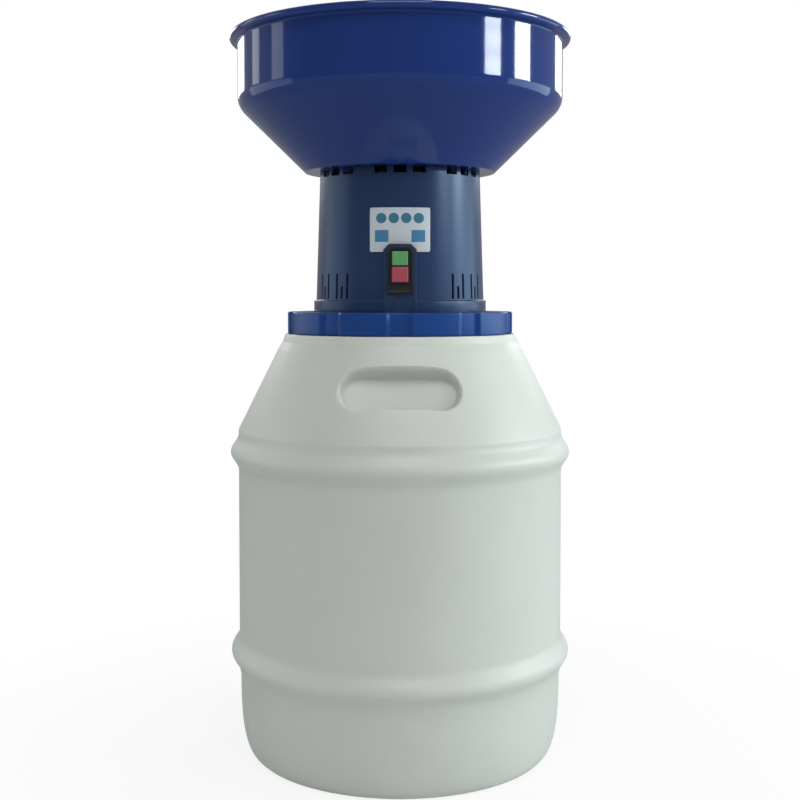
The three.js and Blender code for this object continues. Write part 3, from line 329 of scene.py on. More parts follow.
def prism(name, outline, start, end, upright=False):
    """A flat outline filled and extruded: (x, z) points along Y, or (x, y) points upwards."""
    if upright:
        places = [(p[0], p[1], start) for p in outline]
        reach = (0, 0, end - start)
    else:
        places = [(p[0], start, p[1]) for p in outline]
        reach = (0, end - start, 0)
    piece = trace(name, places)
    bpy.ops.mesh.select_all(action="SELECT")
    bpy.ops.mesh.edge_face_add()
    bpy.ops.mesh.extrude_region_move(TRANSFORM_OT_translate={"value": reach})
    bpy.ops.mesh.select_all(action="SELECT")
    bpy.ops.mesh.normals_make_consistent(inside=False)
    leave()
    return piece


def rounded_box(half_width, bottom, top, radius):
    """Corners of an upright box with rounded corners, as (x, z, radius)."""
    return [
        (-half_width, bottom, radius), (half_width, bottom, radius),
        (half_width, top, radius), (-half_width, top, radius),
    ]


def chamfered(half_width, bottom, top, chamfer, radius=0.0):
    """Corners of an upright box whose two upper corners are cut off."""
    return [
        (-half_width, bottom, radius), (half_width, bottom, radius),
        (half_width, top - chamfer, radius), (half_width - chamfer, top, radius),
        (-half_width + chamfer, top, radius), (-half_width, top - chamfer, radius),
    ]


def circle_places(count, distance, first=math.pi / 4):
    """Places on a circle round the axis, the first at an angle from +X."""
    turns = [first + index * FULL_TURN / count for index in range(count)]
    return [(distance * math.cos(a), distance * math.sin(a)) for a in turns]


def hexagon(radius, height=0.0):
    """The corners of a hexagon, its middle at a height."""
    turns = [math.radians(60 * index) for index in range(6)]
    return [(radius * math.cos(a), height + radius * math.sin(a)) for a in turns]


def round_cutter(x, y, radius, bottom, top, steps=32):
    """An upright round cutter."""
    return begin(
        "cutter", bpy.ops.mesh.primitive_cylinder_add, vertices=steps, radius=radius,
        depth=top - bottom, location=(x, y, (bottom + top) / 2),
    )


def bored(piece, radius, start, end, height):
    """Cuts a round hole along Y at a height."""
    cutter = turned(
        "bore", [(0, start), (radius, start), (radius, end), (0, end)], 48,
        centre=(0, 0, height), along="Y",
    )
    merge(piece, cutter, "DIFFERENCE")


def drilled(piece, places, radius, bottom, top, steps=32):
    """Cuts the same upright hole at several places."""
    for x, y in places:
        merge(piece, round_cutter(x, y, radius, bottom, top, steps), "DIFFERENCE")


def copied(piece, name, place=(0, 0, 0), angle=0.0):
    """A copy with its own mesh, turned round the vertical axis and moved."""
    activate(piece)
    bpy.ops.object.duplicate(linked=False)
    copy = bpy.context.active_object
    copy.name = name
    copy.data.name = name
    copy.rotation_euler.z = angle
    copy.location = place
    bpy.ops.object.transform_apply(location=True, rotation=True, scale=True)
    return copy


def shifted(piece, across):
    """Moves a piece's mesh sideways."""
    edit(piece)
    bpy.ops.mesh.select_all(action="SELECT")
    bpy.ops.transform.translate(value=(across, 0, 0))
    leave()


def dress(piece, slot, body, *nodes, angle=35, finish_name=None):
    """Smooths a finished piece, gives it the finish of its slot and puts it on its body."""
    activate(piece)
    bpy.ops.object.shade_smooth_by_angle(angle=math.radians(angle))
    piece.data.materials.clear()
    piece.data.materials.append(materials(bpy.context.scene)[finish_name or slot])
    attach(piece, body)
    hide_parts(*nodes)


# Material helpers


def put(tree, kind, inputs=None, **settings):
    """Adds a shader node, sets it and links or fills its inputs."""
    made = tree.nodes.new("ShaderNode" + kind)
    for key, value in settings.items():
        setattr(made, key, value)
    for key, value in (inputs or {}).items():
        if isinstance(value, bpy.types.NodeSocket):
            tree.links.new(value, made.inputs[key])
        else:
            made.inputs[key].default_value = value
    return made


def math_node(tree, operation, first, second=0.0, clamp=False):
    """A Math node's value."""
    return put(
        tree, "Math", {0: first, 1: second}, operation=operation, use_clamp=clamp,
    ).outputs[0]


def spread(tree, value, low, high, new_low=0.0, new_high=1.0):
    """A value spread from one range to another and kept inside it."""
    return put(tree, "MapRange", {
        "Value": value, "From Min": low, "From Max": high, "To Min": new_low, "To Max": new_high,
    }).outputs["Result"]


def mixed(tree, factor, first, second):
    """Two colours mixed by a factor."""
    made = tree.nodes.new("ShaderNodeMix")
    made.data_type = "RGBA"
    for index, value in ((0, factor), (6, first), (7, second)):
        if isinstance(value, bpy.types.NodeSocket):
            tree.links.new(value, made.inputs[index])
        else:
            made.inputs[index].default_value = value
    return made.outputs[2]


def opaque(values):
    """A colour with full alpha."""
    return (*values[:3], 1.0)


def shader_group(name, inputs, outputs):
    """A node group with named sockets, and its two end nodes."""
    tree = bpy.data.node_groups.new(name, "ShaderNodeTree")
    for title, default in inputs:
        kind = "NodeSocketFloat" if isinstance(default, float) else "NodeSocketColor"
        socket = tree.interface.new_socket(title, in_out="INPUT", socket_type=kind)
        socket.default_value = default
    for title, kind in outputs:
        tree.interface.new_socket(title, in_out="OUTPUT", socket_type="NodeSocket" + kind)
    return tree, tree.nodes.new("NodeGroupInput"), tree.nodes.new("NodeGroupOutput")


def moulded_group():
    """Colour that drifts a little over a moulded wall, and its fine grain."""
    tree, given, made = shader_group(
        "Moulded Surface",
        [("Colour", (0.5, 0.5, 0.5, 1.0)), ("Drift", 0.05), ("Roughness", 0.4), ("Matting", 0.1),
         ("Grain", 900.0), ("Cloud", 14.0)],
        [("Colour", "Color"), ("Roughness", "Float"), ("Height", "Float")],
    )
    place = put(tree, "TexCoord").outputs["Object"]
    cloud = put(tree, "TexNoise", {
        "Vector": place, "Scale": given.outputs["Cloud"], "Detail": 4.0, "Roughness": 0.6,
    }).outputs[0]
    fine = put(tree, "TexNoise", {
        "Vector": place, "Scale": given.outputs["Grain"], "Detail": 2.0,
    }).outputs[0]
    shift = math_node(tree, "MULTIPLY", math_node(tree, "SUBTRACT", cloud, 0.5), given.outputs["Drift"])
    level = math_node(tree, "ADD", math_node(tree, "MULTIPLY", shift, 2.0), 1.0)
    bright = put(tree, "VectorMath", {0: given.outputs["Colour"], "Scale": level}, operation="SCALE")
    matt = math_node(tree, "MULTIPLY", math_node(tree, "SUBTRACT", cloud, 0.4), given.outputs["Matting"])
    tree.links.new(bright.outputs[0], made.inputs["Colour"])
    tree.links.new(
        math_node(tree, "ADD", given.outputs["Roughness"], matt, clamp=True), made.inputs["Roughness"],
    )
    tree.links.new(fine, made.inputs["Height"])
    return tree


def wear_group():
    """Edges rubbed to a lighter colour, in broken patches."""
    tree, given, made = shader_group(
        "Rubbed Edges",
        [("Colour", (0.5, 0.5, 0.5, 1.0)), ("Rubbed", (0.8, 0.8, 0.8, 1.0)), ("Amount", 0.3)],
        [("Colour", "Color"), ("Mask", "Float")],
    )
    place = put(tree, "TexCoord").outputs["Object"]
    patches = put(tree, "TexNoise", {"Vector": place, "Scale": 90.0, "Detail": 5.0}).outputs[0]
    edge = spread(tree, put(tree, "NewGeometry").outputs["Pointiness"], 0.515, 0.58)
    broken = math_node(tree, "MULTIPLY", edge, spread(tree, patches, 0.42, 0.62))
    mask = math_node(tree, "MULTIPLY", broken, given.outputs["Amount"], clamp=True)
    tree.links.new(
        mixed(tree, mask, given.outputs["Colour"], given.outputs["Rubbed"]), made.inputs["Colour"],
    )
    tree.links.new(mask, made.inputs["Mask"])
    return tree


def dust_group():
    """Flour dust that settles on faces that look up."""
    tree, given, made = shader_group(
        "Flour Dust",
        [("Colour", (0.5, 0.5, 0.5, 1.0)), ("Dust", (0.85, 0.82, 0.76, 1.0)), ("Amount", 0.1)],
        [("Colour", "Color"), ("Mask", "Float")],
    )
    place = put(tree, "TexCoord").outputs["Object"]
    upward = put(tree, "SeparateXYZ", {0: put(tree, "NewGeometry").outputs["Normal"]}).outputs[2]
    patches = put(tree, "TexNoise", {
        "Vector": place, "Scale": 38.0, "Detail": 8.0, "Roughness": 0.7,
    }).outputs[0]
    lying = math_node(
        tree, "MULTIPLY", spread(tree, upward, 0.35, 0.95), spread(tree, patches, 0.4, 0.75),
    )
    mask = math_node(tree, "MULTIPLY", lying, given.outputs["Amount"], clamp=True)
    tree.links.new(
        mixed(tree, mask, given.outputs["Colour"], given.outputs["Dust"]), made.inputs["Colour"],
    )
    tree.links.new(mask, made.inputs["Mask"])
    return tree


def scratch_group():
    """Fine hairline scratches in two directions."""
    tree, given, made = shader_group(
        "Hairlines", [("Scale", 60.0), ("Amount", 0.2)], [("Mask", "Float")],
    )
    place = put(tree, "TexCoord").outputs["Object"]
    lines = []
    for stretch, twist in (((1.0, 1.0, 0.04), (0.3, 0.1, 0.5)), ((0.05, 0.05, 1.0), (0.2, 0.4, 0.0))):
        placed = put(tree, "Mapping", {"Vector": place, "Rotation": twist, "Scale": stretch})
        noise = put(tree, "TexNoise", {
            "Vector": placed.outputs[0], "Scale": given.outputs["Scale"], "Detail": 6.0,
            "Roughness": 0.75,
        }).outputs[0]
        lines.append(spread(tree, noise, 0.6, 0.72))
    both = math_node(tree, "MAXIMUM", lines[0], lines[1])
    tree.links.new(
        math_node(tree, "MULTIPLY", both, given.outputs["Amount"], clamp=True), made.inputs["Mask"],
    )
    return tree


def use_group(tree, name, **inputs):
    """Places a shared node group and fills its inputs."""
    made = tree.nodes.new("ShaderNodeGroup")
    made.node_tree = bpy.data.node_groups[name]
    made.label = name
    for key, value in inputs.items():
        if isinstance(value, bpy.types.NodeSocket):
            tree.links.new(value, made.inputs[key])
        else:
            made.inputs[key].default_value = value
    return made.outputs


def finish(name, base, roughness, *, drift=0.05, matting=0.08, grain=900.0, cloud=14.0, depth=0.00002,
           rubbed=None, wear=0.25, dust=0.0, hairlines=0.0, metallic=0.0, pattern=None, **fixed):
    """A material made of the shared surface effects, with a pattern of its own where one is given."""
    material = bpy.data.materials.get(name)
    if material:
        return material
    material = bpy.data.materials.new(name)
    material.use_nodes = True
    tree = material.node_tree
    shader = tree.nodes["Principled BSDF"]
    coloured = opaque(base)
    height = None
    if pattern:
        coloured, height = pattern(tree, coloured)
    surface = use_group(
        tree, "Moulded Surface", Colour=coloured, Drift=drift, Roughness=roughness,
        Matting=matting, Grain=grain, Cloud=cloud,
    )
    shade, rough = surface["Colour"], surface["Roughness"]
    if wear:
        lighter = rubbed or tuple(min(1.0, channel * 1.5 + 0.06) for channel in base)
        worn = use_group(tree, "Rubbed Edges", Colour=shade, Rubbed=opaque(lighter), Amount=wear)
        shade = worn["Colour"]
        rough = math_node(tree, "ADD", rough, math_node(tree, "MULTIPLY", worn["Mask"], 0.15), clamp=True)
    if hairlines:
        lines = use_group(tree, "Hairlines", Amount=hairlines)["Mask"]
        rough = math_node(tree, "ADD", rough, lines, clamp=True)
    if dust:
        dusty = use_group(tree, "Flour Dust", Colour=shade, Amount=dust)
        shade = dusty["Colour"]
        rough = math_node(tree, "ADD", rough, math_node(tree, "MULTIPLY", dusty["Mask"], 0.5), clamp=True)
    tree.links.new(shade, shader.inputs["Base Color"])
    tree.links.new(rough, shader.inputs["Roughness"])
    bump = put(tree, "Bump", {"Height": surface["Height"], "Strength": 1.0, "Distance": depth})
    if height:
        raised = put(tree, "Bump", {"Height": height, "Strength": 1.0, "Distance": 0.0003})
        tree.links.new(raised.outputs[0], bump.inputs["Normal"])
    tree.links.new(bump.outputs[0], shader.inputs["Normal"])
    shader.inputs["Metallic"].default_value = metallic
    for key, value in fixed.items():
        shader.inputs[key.replace("_", " ").title().replace("Ior", "IOR")].default_value = value
    return material


def laminations(tree, base):
    """Thin stacked sheets, seen as fine lines across a steel core."""
    place = put(tree, "TexCoord").outputs["Object"]
    lines = put(tree, "TexWave", {
        "Vector": place, "Scale": 320.0, "Distortion": 0.4, "Detail": 1.0,
    }, bands_direction="Z").outputs[1]
    return mixed(tree, spread(tree, lines, 0.0, 0.45), opaque([c * 0.45 for c in base[:3]]), base), lines


def windings(tree, base):
    """Turns of enamelled wire lying side by side."""
    place = put(tree, "TexCoord").outputs["Object"]
    lines = put(tree, "TexWave", {
        "Vector": place, "Scale": 130.0, "Distortion": 1.2, "Detail": 1.0, "Detail Scale": 3.0,
    }, bands_direction="DIAGONAL").outputs[1]
    return mixed(tree, spread(tree, lines, 0.0, 0.5), opaque([c * 0.4 for c in base[:3]]), base), lines


def commutator_bars(tree, base):
    """Copper bars round the commutator with dark mica between them."""
    place = put(tree, "SeparateXYZ", {0: put(tree, "TexCoord").outputs["Object"]})
    angle = math_node(tree, "ARCTAN2", place.outputs[1], place.outputs[0])
    bar = math_node(tree, "SINE", math_node(tree, "MULTIPLY", angle, 24.0))
    gap = spread(tree, bar, 0.9, 0.97)
    return mixed(tree, gap, base, opaque((0.03, 0.025, 0.02))), math_node(tree, "SUBTRACT", 1.0, gap)


def lathe_lines(tree, base):
    """Fine rings left by the lathe."""
    place = put(tree, "TexCoord").outputs["Object"]
    rings = put(tree, "TexWave", {
        "Vector": place, "Scale": 240.0, "Distortion": 0.2, "Detail": 2.0,
    }, wave_type="RINGS", rings_direction="Z").outputs[1]
    return mixed(tree, math_node(tree, "MULTIPLY", rings, 0.12), base, opaque((0.2, 0.2, 0.21))), rings


def ground_lines(tree, base):
    """Fine parallel lines left by the grinding wheel."""
    place = put(tree, "TexCoord").outputs["Object"]
    placed = put(tree, "Mapping", {"Vector": place, "Scale": (0.03, 1.0, 1.0)})
    lines = put(tree, "TexNoise", {
        "Vector": placed.outputs[0], "Scale": 1600.0, "Detail": 4.0,
    }).outputs[0]
    return mixed(tree, spread(tree, lines, 0.35, 0.75, 0.0, 0.4), base, opaque((0.25, 0.26, 0.27))), lines


def label_print(tree, base):
    """A plain printed film: a row of four discs over two squares."""
    place = put(tree, "SeparateXYZ", {0: put(tree, "TexCoord").outputs["Object"]})
    across, up = place.outputs[0], place.outputs[2]
    flat = put(tree, "CombineXYZ", {0: across, 2: up}).outputs[0]
    shade = base
    blue = opaque(linear(58, 118, 142))
    disc_height, disc_radius, disc_blur = 0.630, 0.0060, 0.0003
    for x in (-0.021, -0.007, 0.007, 0.021):
        centre = (x, 0.0, disc_height)
        away = put(tree, "VectorMath", {0: flat, 1: centre}, operation="DISTANCE").outputs[1]
        shade = mixed(tree, spread(tree, away, disc_radius, disc_radius - disc_blur), shade, blue)
    height, half_width, half_height, blur = 0.6100, 0.0078, 0.0068, 0.0002
    for x in (-0.0205, 0.0205):
        beside = math_node(tree, "ABSOLUTE", math_node(tree, "SUBTRACT", across, x))
        above = math_node(tree, "ABSOLUTE", math_node(tree, "SUBTRACT", up, height))
        inside = math_node(
            tree, "MULTIPLY", spread(tree, beside, half_width, half_width - blur),
            spread(tree, above, half_height, half_height - blur),
        )
        shade = mixed(tree, inside, shade, opaque(linear(64, 128, 172)))
    return shade, math_node(tree, "MULTIPLY", across, 0.0)


def materials(scene):
    """Every material of the mill, by its slot's name."""
    ready = bpy.data.node_groups.get("Moulded Surface")
    if not ready:
        for build in (moulded_group, wear_group, dust_group, scratch_group):
            build()
    steel_rub = (0.85, 0.86, 0.87)
    return {
        "barrel_plastic": finish(
            "Barrel Polyethylene", scene.mill_barrel.colour, 0.42, drift=0.05, matting=0.1,
            grain=420.0, cloud=9.0, depth=0.00005, wear=0.0, subsurface_weight=0.35,
            subsurface_radius=(0.9, 1.0, 0.85), subsurface_scale=0.012,
        ),
        "hopper_plastic": finish(
            "Hopper Plastic", scene.mill_hopper.colour, 0.07, drift=0.04, matting=0.04, grain=700.0,
            depth=0.000003, wear=0.12, hairlines=0.04, specular_tint=(0.8, 0.9, 1.0, 1.0),
        ),
        "housing_plastic": finish(
            "Housing Plastic", scene.mill_housing.colour, 0.30, drift=0.05, grain=1100.0,
            depth=0.00002, wear=0.2, dust=0.04, specular_tint=(0.5, 0.76, 1.0, 1.0),
        ),
        "ring_plastic": finish(
            "Ring Plastic", scene.mill_ring.colour, 0.32, drift=0.05, grain=1000.0,
            depth=0.00002, wear=0.35, dust=0.03, specular_tint=(0.5, 0.72, 1.0, 1.0),
        ),
        "plate_plastic": finish(
            "Plate Plastic", linear(42, 54, 80), 0.45, grain=1000.0, depth=0.00003, wear=0.2, dust=0.25,
        ),
        "black_plastic": finish(
            "Black Plastic", linear(24, 28, 30), 0.4, grain=1300.0, depth=0.00003, wear=0.3,
            rubbed=(0.12, 0.12, 0.125),
        ),
        "green_plastic": finish(
            "Green Plastic", scene.mill_switch.start_colour, 0.32, grain=1400.0, depth=0.00001, wear=0.3,
        ),
        "red_plastic": finish(
            "Red Plastic", scene.mill_switch.stop_colour, 0.32, grain=1400.0, depth=0.00001, wear=0.3,
        ),
        "label_film": finish(
            "Label Film", scene.mill_switch.label_colour, 0.35, drift=0.03, grain=1600.0,
            depth=0.000006, wear=0.0, hairlines=0.08, pattern=label_print,
        ),
        "soft_rubber": finish(
            "Soft Rubber", linear(34, 37, 42), 0.75, grain=1500.0, depth=0.00005, wear=0.1, dust=0.2,
        ),
        "zinc_steel": finish(
            "Zinc Steel", linear(176, 180, 184), 0.34, drift=0.12, matting=0.2, cloud=120.0,
            grain=1200.0, metallic=1.0, rubbed=steel_rub, hairlines=0.1,
        ),
        "bright_steel": finish(
            "Bright Steel", linear(200, 203, 206), 0.26, drift=0.06, metallic=1.0, grain=1500.0,
            rubbed=steel_rub, hairlines=0.15, pattern=ground_lines, depth=0.00001,
        ),
        "laminated_steel": finish(
            "Laminated Steel", linear(112, 116, 121), 0.5, drift=0.15, metallic=0.9, cloud=60.0,
            rubbed=steel_rub, pattern=laminations,
        ),
        "cast_aluminium": finish(
            "Cast Aluminium", linear(156, 162, 167), 0.48, drift=0.12, metallic=1.0, grain=700.0,
            depth=0.00012, cloud=80.0, rubbed=steel_rub,
        ),
        "copper": finish(
            "Enamelled Copper", linear(184, 104, 56), 0.36, drift=0.1, metallic=0.9,
            rubbed=(0.9, 0.55, 0.35), pattern=windings,
        ),
        "commutator_copper": finish(
            "Commutator Copper", linear(186, 116, 74), 0.3, drift=0.08, metallic=1.0,
            rubbed=(0.9, 0.6, 0.4), pattern=commutator_bars,
        ),
        "turned_steel": finish(
            "Turned Steel", linear(190, 194, 198), 0.28, drift=0.06, metallic=1.0,
            rubbed=steel_rub, pattern=lathe_lines,
        ),
        "carbon": finish(
            "Pressed Carbon", linear(40, 40, 42), 0.6, grain=1800.0, depth=0.00006,
            rubbed=(0.25, 0.25, 0.26),
        ),
        "cream_plastic": finish(
            "Cream Plastic", linear(217, 209, 189), 0.45, grain=900.0, depth=0.00003, dust=0.1,
        ),
    }


# Barrel

# Heights and sizes in metres; SHOULDER_TOP and LEDGE are corners of (radius, height)
FOOT_CORNER = 0.095
HOOP_HEIGHTS = (0.123, 0.359)
HOOP_HALF = 0.021
SHOULDER = 0.385
SHOULDER_TOP = (0.1455, 0.480)
LEDGE = (0.137, 0.498)
NECK_RADIUS = 0.125
NECK_TOP = 0.511
NECK_WALL = 0.007
# A low ridge round the neck: its heights from foot to top, and how far it stands out
RIDGE = (0.5035, 0.5043, 0.5057, 0.5065)
RIDGE_RISE = 0.001
# Middle of the hand grips, the range that gets close rows, and the soft edge of the recess
GRIP_HEIGHT = 0.445
GRIP_ROWS = (0.4175, 0.4715)
GRIP_LIP = 0.0022
GRIP_SLOPE = 0.0075
# How full the foot's rounded corner is; 1 gives a quarter of an ellipse
FULLNESS = 0.74
BARREL_STEPS = 450
FOOT_STEPS = 14
HOOP_STEPS = 6


def barrel_outside(radius, hoop_rise):
    """The barrel's outside from the middle of its hollow foot to the top of the upper hoop."""
    foot_radius, low_radius = radius - 0.0246, radius - 0.0016
    points = [
        (0, 0.0035), (0.05, 0.0034), (0.125, 0.003), (0.142, 0.0022), (0.152, 0.0006), (0.157, 0),
    ]
    for step in range(FOOT_STEPS + 1):
        angle = step / FOOT_STEPS * math.pi / 2
        outward = math.sin(angle) ** FULLNESS
        upward = 1 - math.cos(angle) ** FULLNESS
        points.append((foot_radius + (low_radius - foot_radius) * outward, FOOT_CORNER * upward))
    for middle in HOOP_HEIGHTS:
        for step in range(-HOOP_STEPS, HOOP_STEPS + 1):
            swell = math.cos(step / HOOP_STEPS * math.pi / 2) ** 2
            points.append((radius + hoop_rise * swell, middle + HOOP_HALF * step / HOOP_STEPS))
    return points


def shoulder_outside(radius, rows):
    """The outside from the shoulder's foot to the neck, with close rows where the grips lie."""
    corners = softened([
        (radius, SHOULDER - 0.004, 0), (radius, SHOULDER, 0.007), (*SHOULDER_TOP, 0.010),
        (LEDGE[0] + 0.003, LEDGE[1] - 0.009, 0.006), (*LEDGE, 0.0015),
        (NECK_RADIUS, LEDGE[1], 0.001), (NECK_RADIUS, LEDGE[1] + 0.003, 0),
    ], closed=False)
    low, high = GRIP_ROWS
    split = SHOULDER + 0.02
    shoulder = [p for p in corners if p.y < split]
    fall = (radius - SHOULDER_TOP[0]) / (SHOULDER_TOP[1] - SHOULDER)
    for row in range(rows + 1):
        height = low + (high - low) * row / rows
        shoulder.append(Vector((radius - (height - SHOULDER) * fall, height)))
    shoulder += [p for p in corners if p.y >= split]
    return [tuple(p) for p in shoulder]


def inward(points, distance):
    """A line of points moved to the inside of the wall."""
    moved = []
    for index, (out, up) in enumerate(points):
        before = Vector(points[max(index - 1, 0)])
        after = Vector(points[min(index + 1, len(points) - 1)])
        along = (after - before).normalized()
        moved.append((out - along.y * distance, up + along.x * distance))
    return moved


def grip_weight(place, sizes, slope, facing):
    """How far a place on the shoulder goes in, as a share of the grip's depth."""
    surface = sizes.radius - (GRIP_HEIGHT - SHOULDER) * math.tan(slope)
    out = place.y * facing
    if out < 0:
        return 0.0
    along = (place.z - GRIP_HEIGHT) * math.cos(slope) - (out - surface) * math.sin(slope)
    behind = -((out - surface) * math.cos(slope) + (place.z - GRIP_HEIGHT) * math.sin(slope))
    radial = math.hypot(place.x, place.y)
    into_wall = -((radial - surface) * math.cos(slope) + (place.z - GRIP_HEIGHT) * math.sin(slope))
    if into_wall > sizes.wall / 2:
        behind -= sizes.wall
    half = sizes.grip_height / 2
    beside = max(abs(place.x) - (sizes.grip_width / 2 - half), 0.0)
    edge = math.hypot(beside, along) - half
    inside = min(max((GRIP_LIP - edge) / GRIP_SLOPE, 0.0), 1.0)
    inside = inside * inside * (3 - 2 * inside)
    return inside * min(max(sizes.grip_depth - behind, 0.0) / sizes.grip_depth, 1.0)


class MILL_OT_barrel(Operator):
    """Model the flour barrel with its hoops, shoulder, hand grips and neck"""

    bl_idname = "mill.barrel"
    bl_label = "Barrel"

    def execute(self, context):
        sizes = context.scene.mill_barrel
        outside = barrel_outside(sizes.radius, sizes.hoop_rise)
        shoulder = shoulder_outside(sizes.radius, rows=40)
        inner = inward(outside[::2], sizes.wall)
        inner_shoulder = inward(shoulder_outside(sizes.radius, rows=18), sizes.wall)
        inner_top = [p for p in inner_shoulder if p[1] < LEDGE[1] - 0.006]
        neck = softened([
            (NECK_RADIUS, LEDGE[1] + 0.003, 0), (NECK_RADIUS, RIDGE[0], 0),
            (NECK_RADIUS + RIDGE_RISE, RIDGE[1], 0), (NECK_RADIUS + RIDGE_RISE, RIDGE[2], 0),
            (NECK_RADIUS, RIDGE[3], 0), (NECK_RADIUS, NECK_TOP, 0.0015),
            (NECK_RADIUS - NECK_WALL, NECK_TOP, 0.0015),
            (NECK_RADIUS - NECK_WALL, LEDGE[1] - 0.004, 0.003), (*inner_top[-1], 0),
        ], closed=False)
        outline = outside + shoulder + [tuple(p) for p in neck[1:-1]]
        outline += list(reversed(inner_top)) + list(reversed(inner))
        outline[-1] = (0, outline[-1][1])
        piece = turned("barrel_shell", outline, BARREL_STEPS)
        slope = math.atan2(sizes.radius - SHOULDER_TOP[0], SHOULDER_TOP[1] - SHOULDER)
        for facing, side in ((-1, "front"), (1, "back")):
            zone = f"grip_{side}"
            group = piece.vertex_groups.new(name=zone)
            for vertex in piece.data.vertices:
                if SHOULDER < vertex.co.z < LEDGE[1]:
                    weight = grip_weight(vertex.co, sizes, slope, facing)
                    if weight:
                        group.add([vertex.index], weight, "REPLACE")
            for direction, reach in (("Y", -facing * math.cos(slope)), ("Z", -math.sin(slope))):
                modify(
                    piece, "DISPLACE", direction=direction, mid_level=0.0,
                    strength=sizes.grip_depth * reach, vertex_group=zone,
                )
        dress(piece, "barrel_plastic", "barrel", "barrel")
        return {"FINISHED"}


# Ring nut, gasket and base plate

RING_STEPS = 720
RIM_EDGE = 0.006
RECESS_LEVELS = 12
ROUND_STEPS = 240


class MILL_OT_ring(Operator):
    """Model the screw ring, the rim gasket and the base plate"""

    bl_idname = "mill.ring"
    bl_label = "Ring and Plate"

    def execute(self, context):
        sizes = context.scene.mill_ring
        foot, top = (corner.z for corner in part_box("ring_nut"))
        lip, opening, bore = 0.0053, 0.106, 0.1264
        rim = sizes.radius - RIM_EDGE
        outline = softened([
            (opening, top - lip, 0.0006), (opening, top, 0.001), (rim, top, 0.0),
            (sizes.radius, top, 0.0018), (sizes.radius, foot, 0.0018), (bore, foot, 0.0008),
            (bore, top - lip, 0.0005),
        ])
        piece = turned("ring_nut_body", outline, RING_STEPS, closed=True)
        pitch = FULL_TURN / sizes.lobes
        half_floor, half_recess = pitch * 0.11, pitch * 0.19
        edit(piece)
        for level in range(1, RECESS_LEVELS + 1):
            def in_level(vertex):
                if math.hypot(vertex.co.x, vertex.co.y) < rim - 0.0001:
                    return False
                angle = math.atan2(vertex.co.y, vertex.co.x) + math.pi / 2
                away = abs((angle + pitch / 2) % pitch - pitch / 2)
                share_in = (half_recess - away) / (half_recess - half_floor)
                return min(max(round(share_in * RECESS_LEVELS), 0), RECESS_LEVELS) == level
            pick("VERT", in_level)
            smooth = level / RECESS_LEVELS
            smooth = smooth * smooth * (3 - 2 * smooth)
            factor = 1 - smooth * sizes.recess / sizes.radius
            bpy.ops.transform.resize(value=(factor, factor, 1), center_override=(0, 0, 0))
        leave()
        dress(piece, "ring_plastic", "ring_nut", "ring_nut")

        foot, top = (corner.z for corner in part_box("rim_gasket"))
        gasket = turned("gasket_ring", softened([
            (0.1185, foot, 0.0006), (0.1245, foot, 0.0006), (0.1245, top, 0.0006),
            (0.1215, top, 0.0), (0.1185, top, 0.0006),
        ]), ROUND_STEPS, closed=True)
        dress(gasket, "soft_rubber", "head", "rim_gasket")

        hub_hole, stud_depth = 0.010, 0.0027
        plate = turned("plate_disc", softened([
            (0, PLATE_FOOT, 0), (0.112, PLATE_FOOT, 0), (0.123, PLATE_FOOT, 0.0008),
            (0.123, PLATE_TOP, 0.0012), (0.104, PLATE_TOP, 0), (0, PLATE_TOP, 0),
        ], closed=False), ROUND_STEPS)
        through = (PLATE_FOOT - PAST, PLATE_TOP + PAST)
        drilled(plate, [(0, 0)], hub_hole, *through, 64)
        drilled(plate, [(FEED_X, 0)], FEED_RADIUS, *through, 64)
        drilled(plate, circle_places(4, BASE_SCREW_CIRCLE), SCREW_HOLE, *through)
        drilled(
            plate, circle_places(3, STUD_CIRCLE, math.pi / 2), PIN_HOLE, PLATE_FOOT - PAST,
            PLATE_FOOT + stud_depth,
        )
        dress(plate, "plate_plastic", "head", "base_plate")
        return {"FINISHED"}


# Motor housing

# Groups of slots round the housing, and the skin's steps in a group, between slots and between vents
GROUPS = 7
GROUP_STEPS = 86
SLOT_STEP = 8
VENT_STEP = 22
VENT_HALF = 7
# Height of the collar and of the wall's start above it
COLLAR = HOUSING_FOOT + 0.0186
WALL_FOOT = COLLAR + 0.001
# The flat pad that carries the switch, and a depth that lies inside the wall behind it
PAD_HALF = 0.0182
PAD_TOP = 0.6005
PAD_CHAMFER = 0.0066
PAD_FRONT = -0.1034
BEHIND_WALL = -0.080
BOSS_RADIUS = 0.005
GLAND_HEIGHT = 0.5559
# Distance of the rows of points that keep the edges of the slots straight
EDGE_ROW = 0.0009
# Half width, foot, top and corner of the hole for the switch
SWITCH_HOLE = (0.0113, 0.5486, 0.5952, 0.001)


def housing_opening(face, heights):
    """Whether a face of the housing's skin belongs to a slot or a vent."""
    centre = face.calc_center_median()
    step = FULL_TURN / (GROUPS * GROUP_STEPS)
    angle = math.atan2(centre.y, centre.x) + math.pi / 2
    column = round(angle / step)
    group = round(column / GROUP_STEPS) % GROUPS
    offset = (column + GROUP_STEPS // 2) % GROUP_STEPS - GROUP_STEPS // 2
    if centre.z > heights["vent"]:
        return min(abs(offset - VENT_STEP * place) for place in (-1, 0, 1)) <= VENT_HALF
    if group == 0 or not heights["slot"] < centre.z < heights["tall"]:
        return False
    for place in (-3, -2, -1, 1, 2, 3):
        if abs(offset - SLOT_STEP * place) <= 1:
            return place % 2 != 0 or centre.z < heights["short"]
    return False


def wall_radius(sizes, height):
    """The outer radius of the housing's wall at a height."""
    part = (height - WALL_FOOT) / (HOUSING_TOP - WALL_FOOT)
    return sizes.foot_radius + (sizes.top_radius - sizes.foot_radius) * part


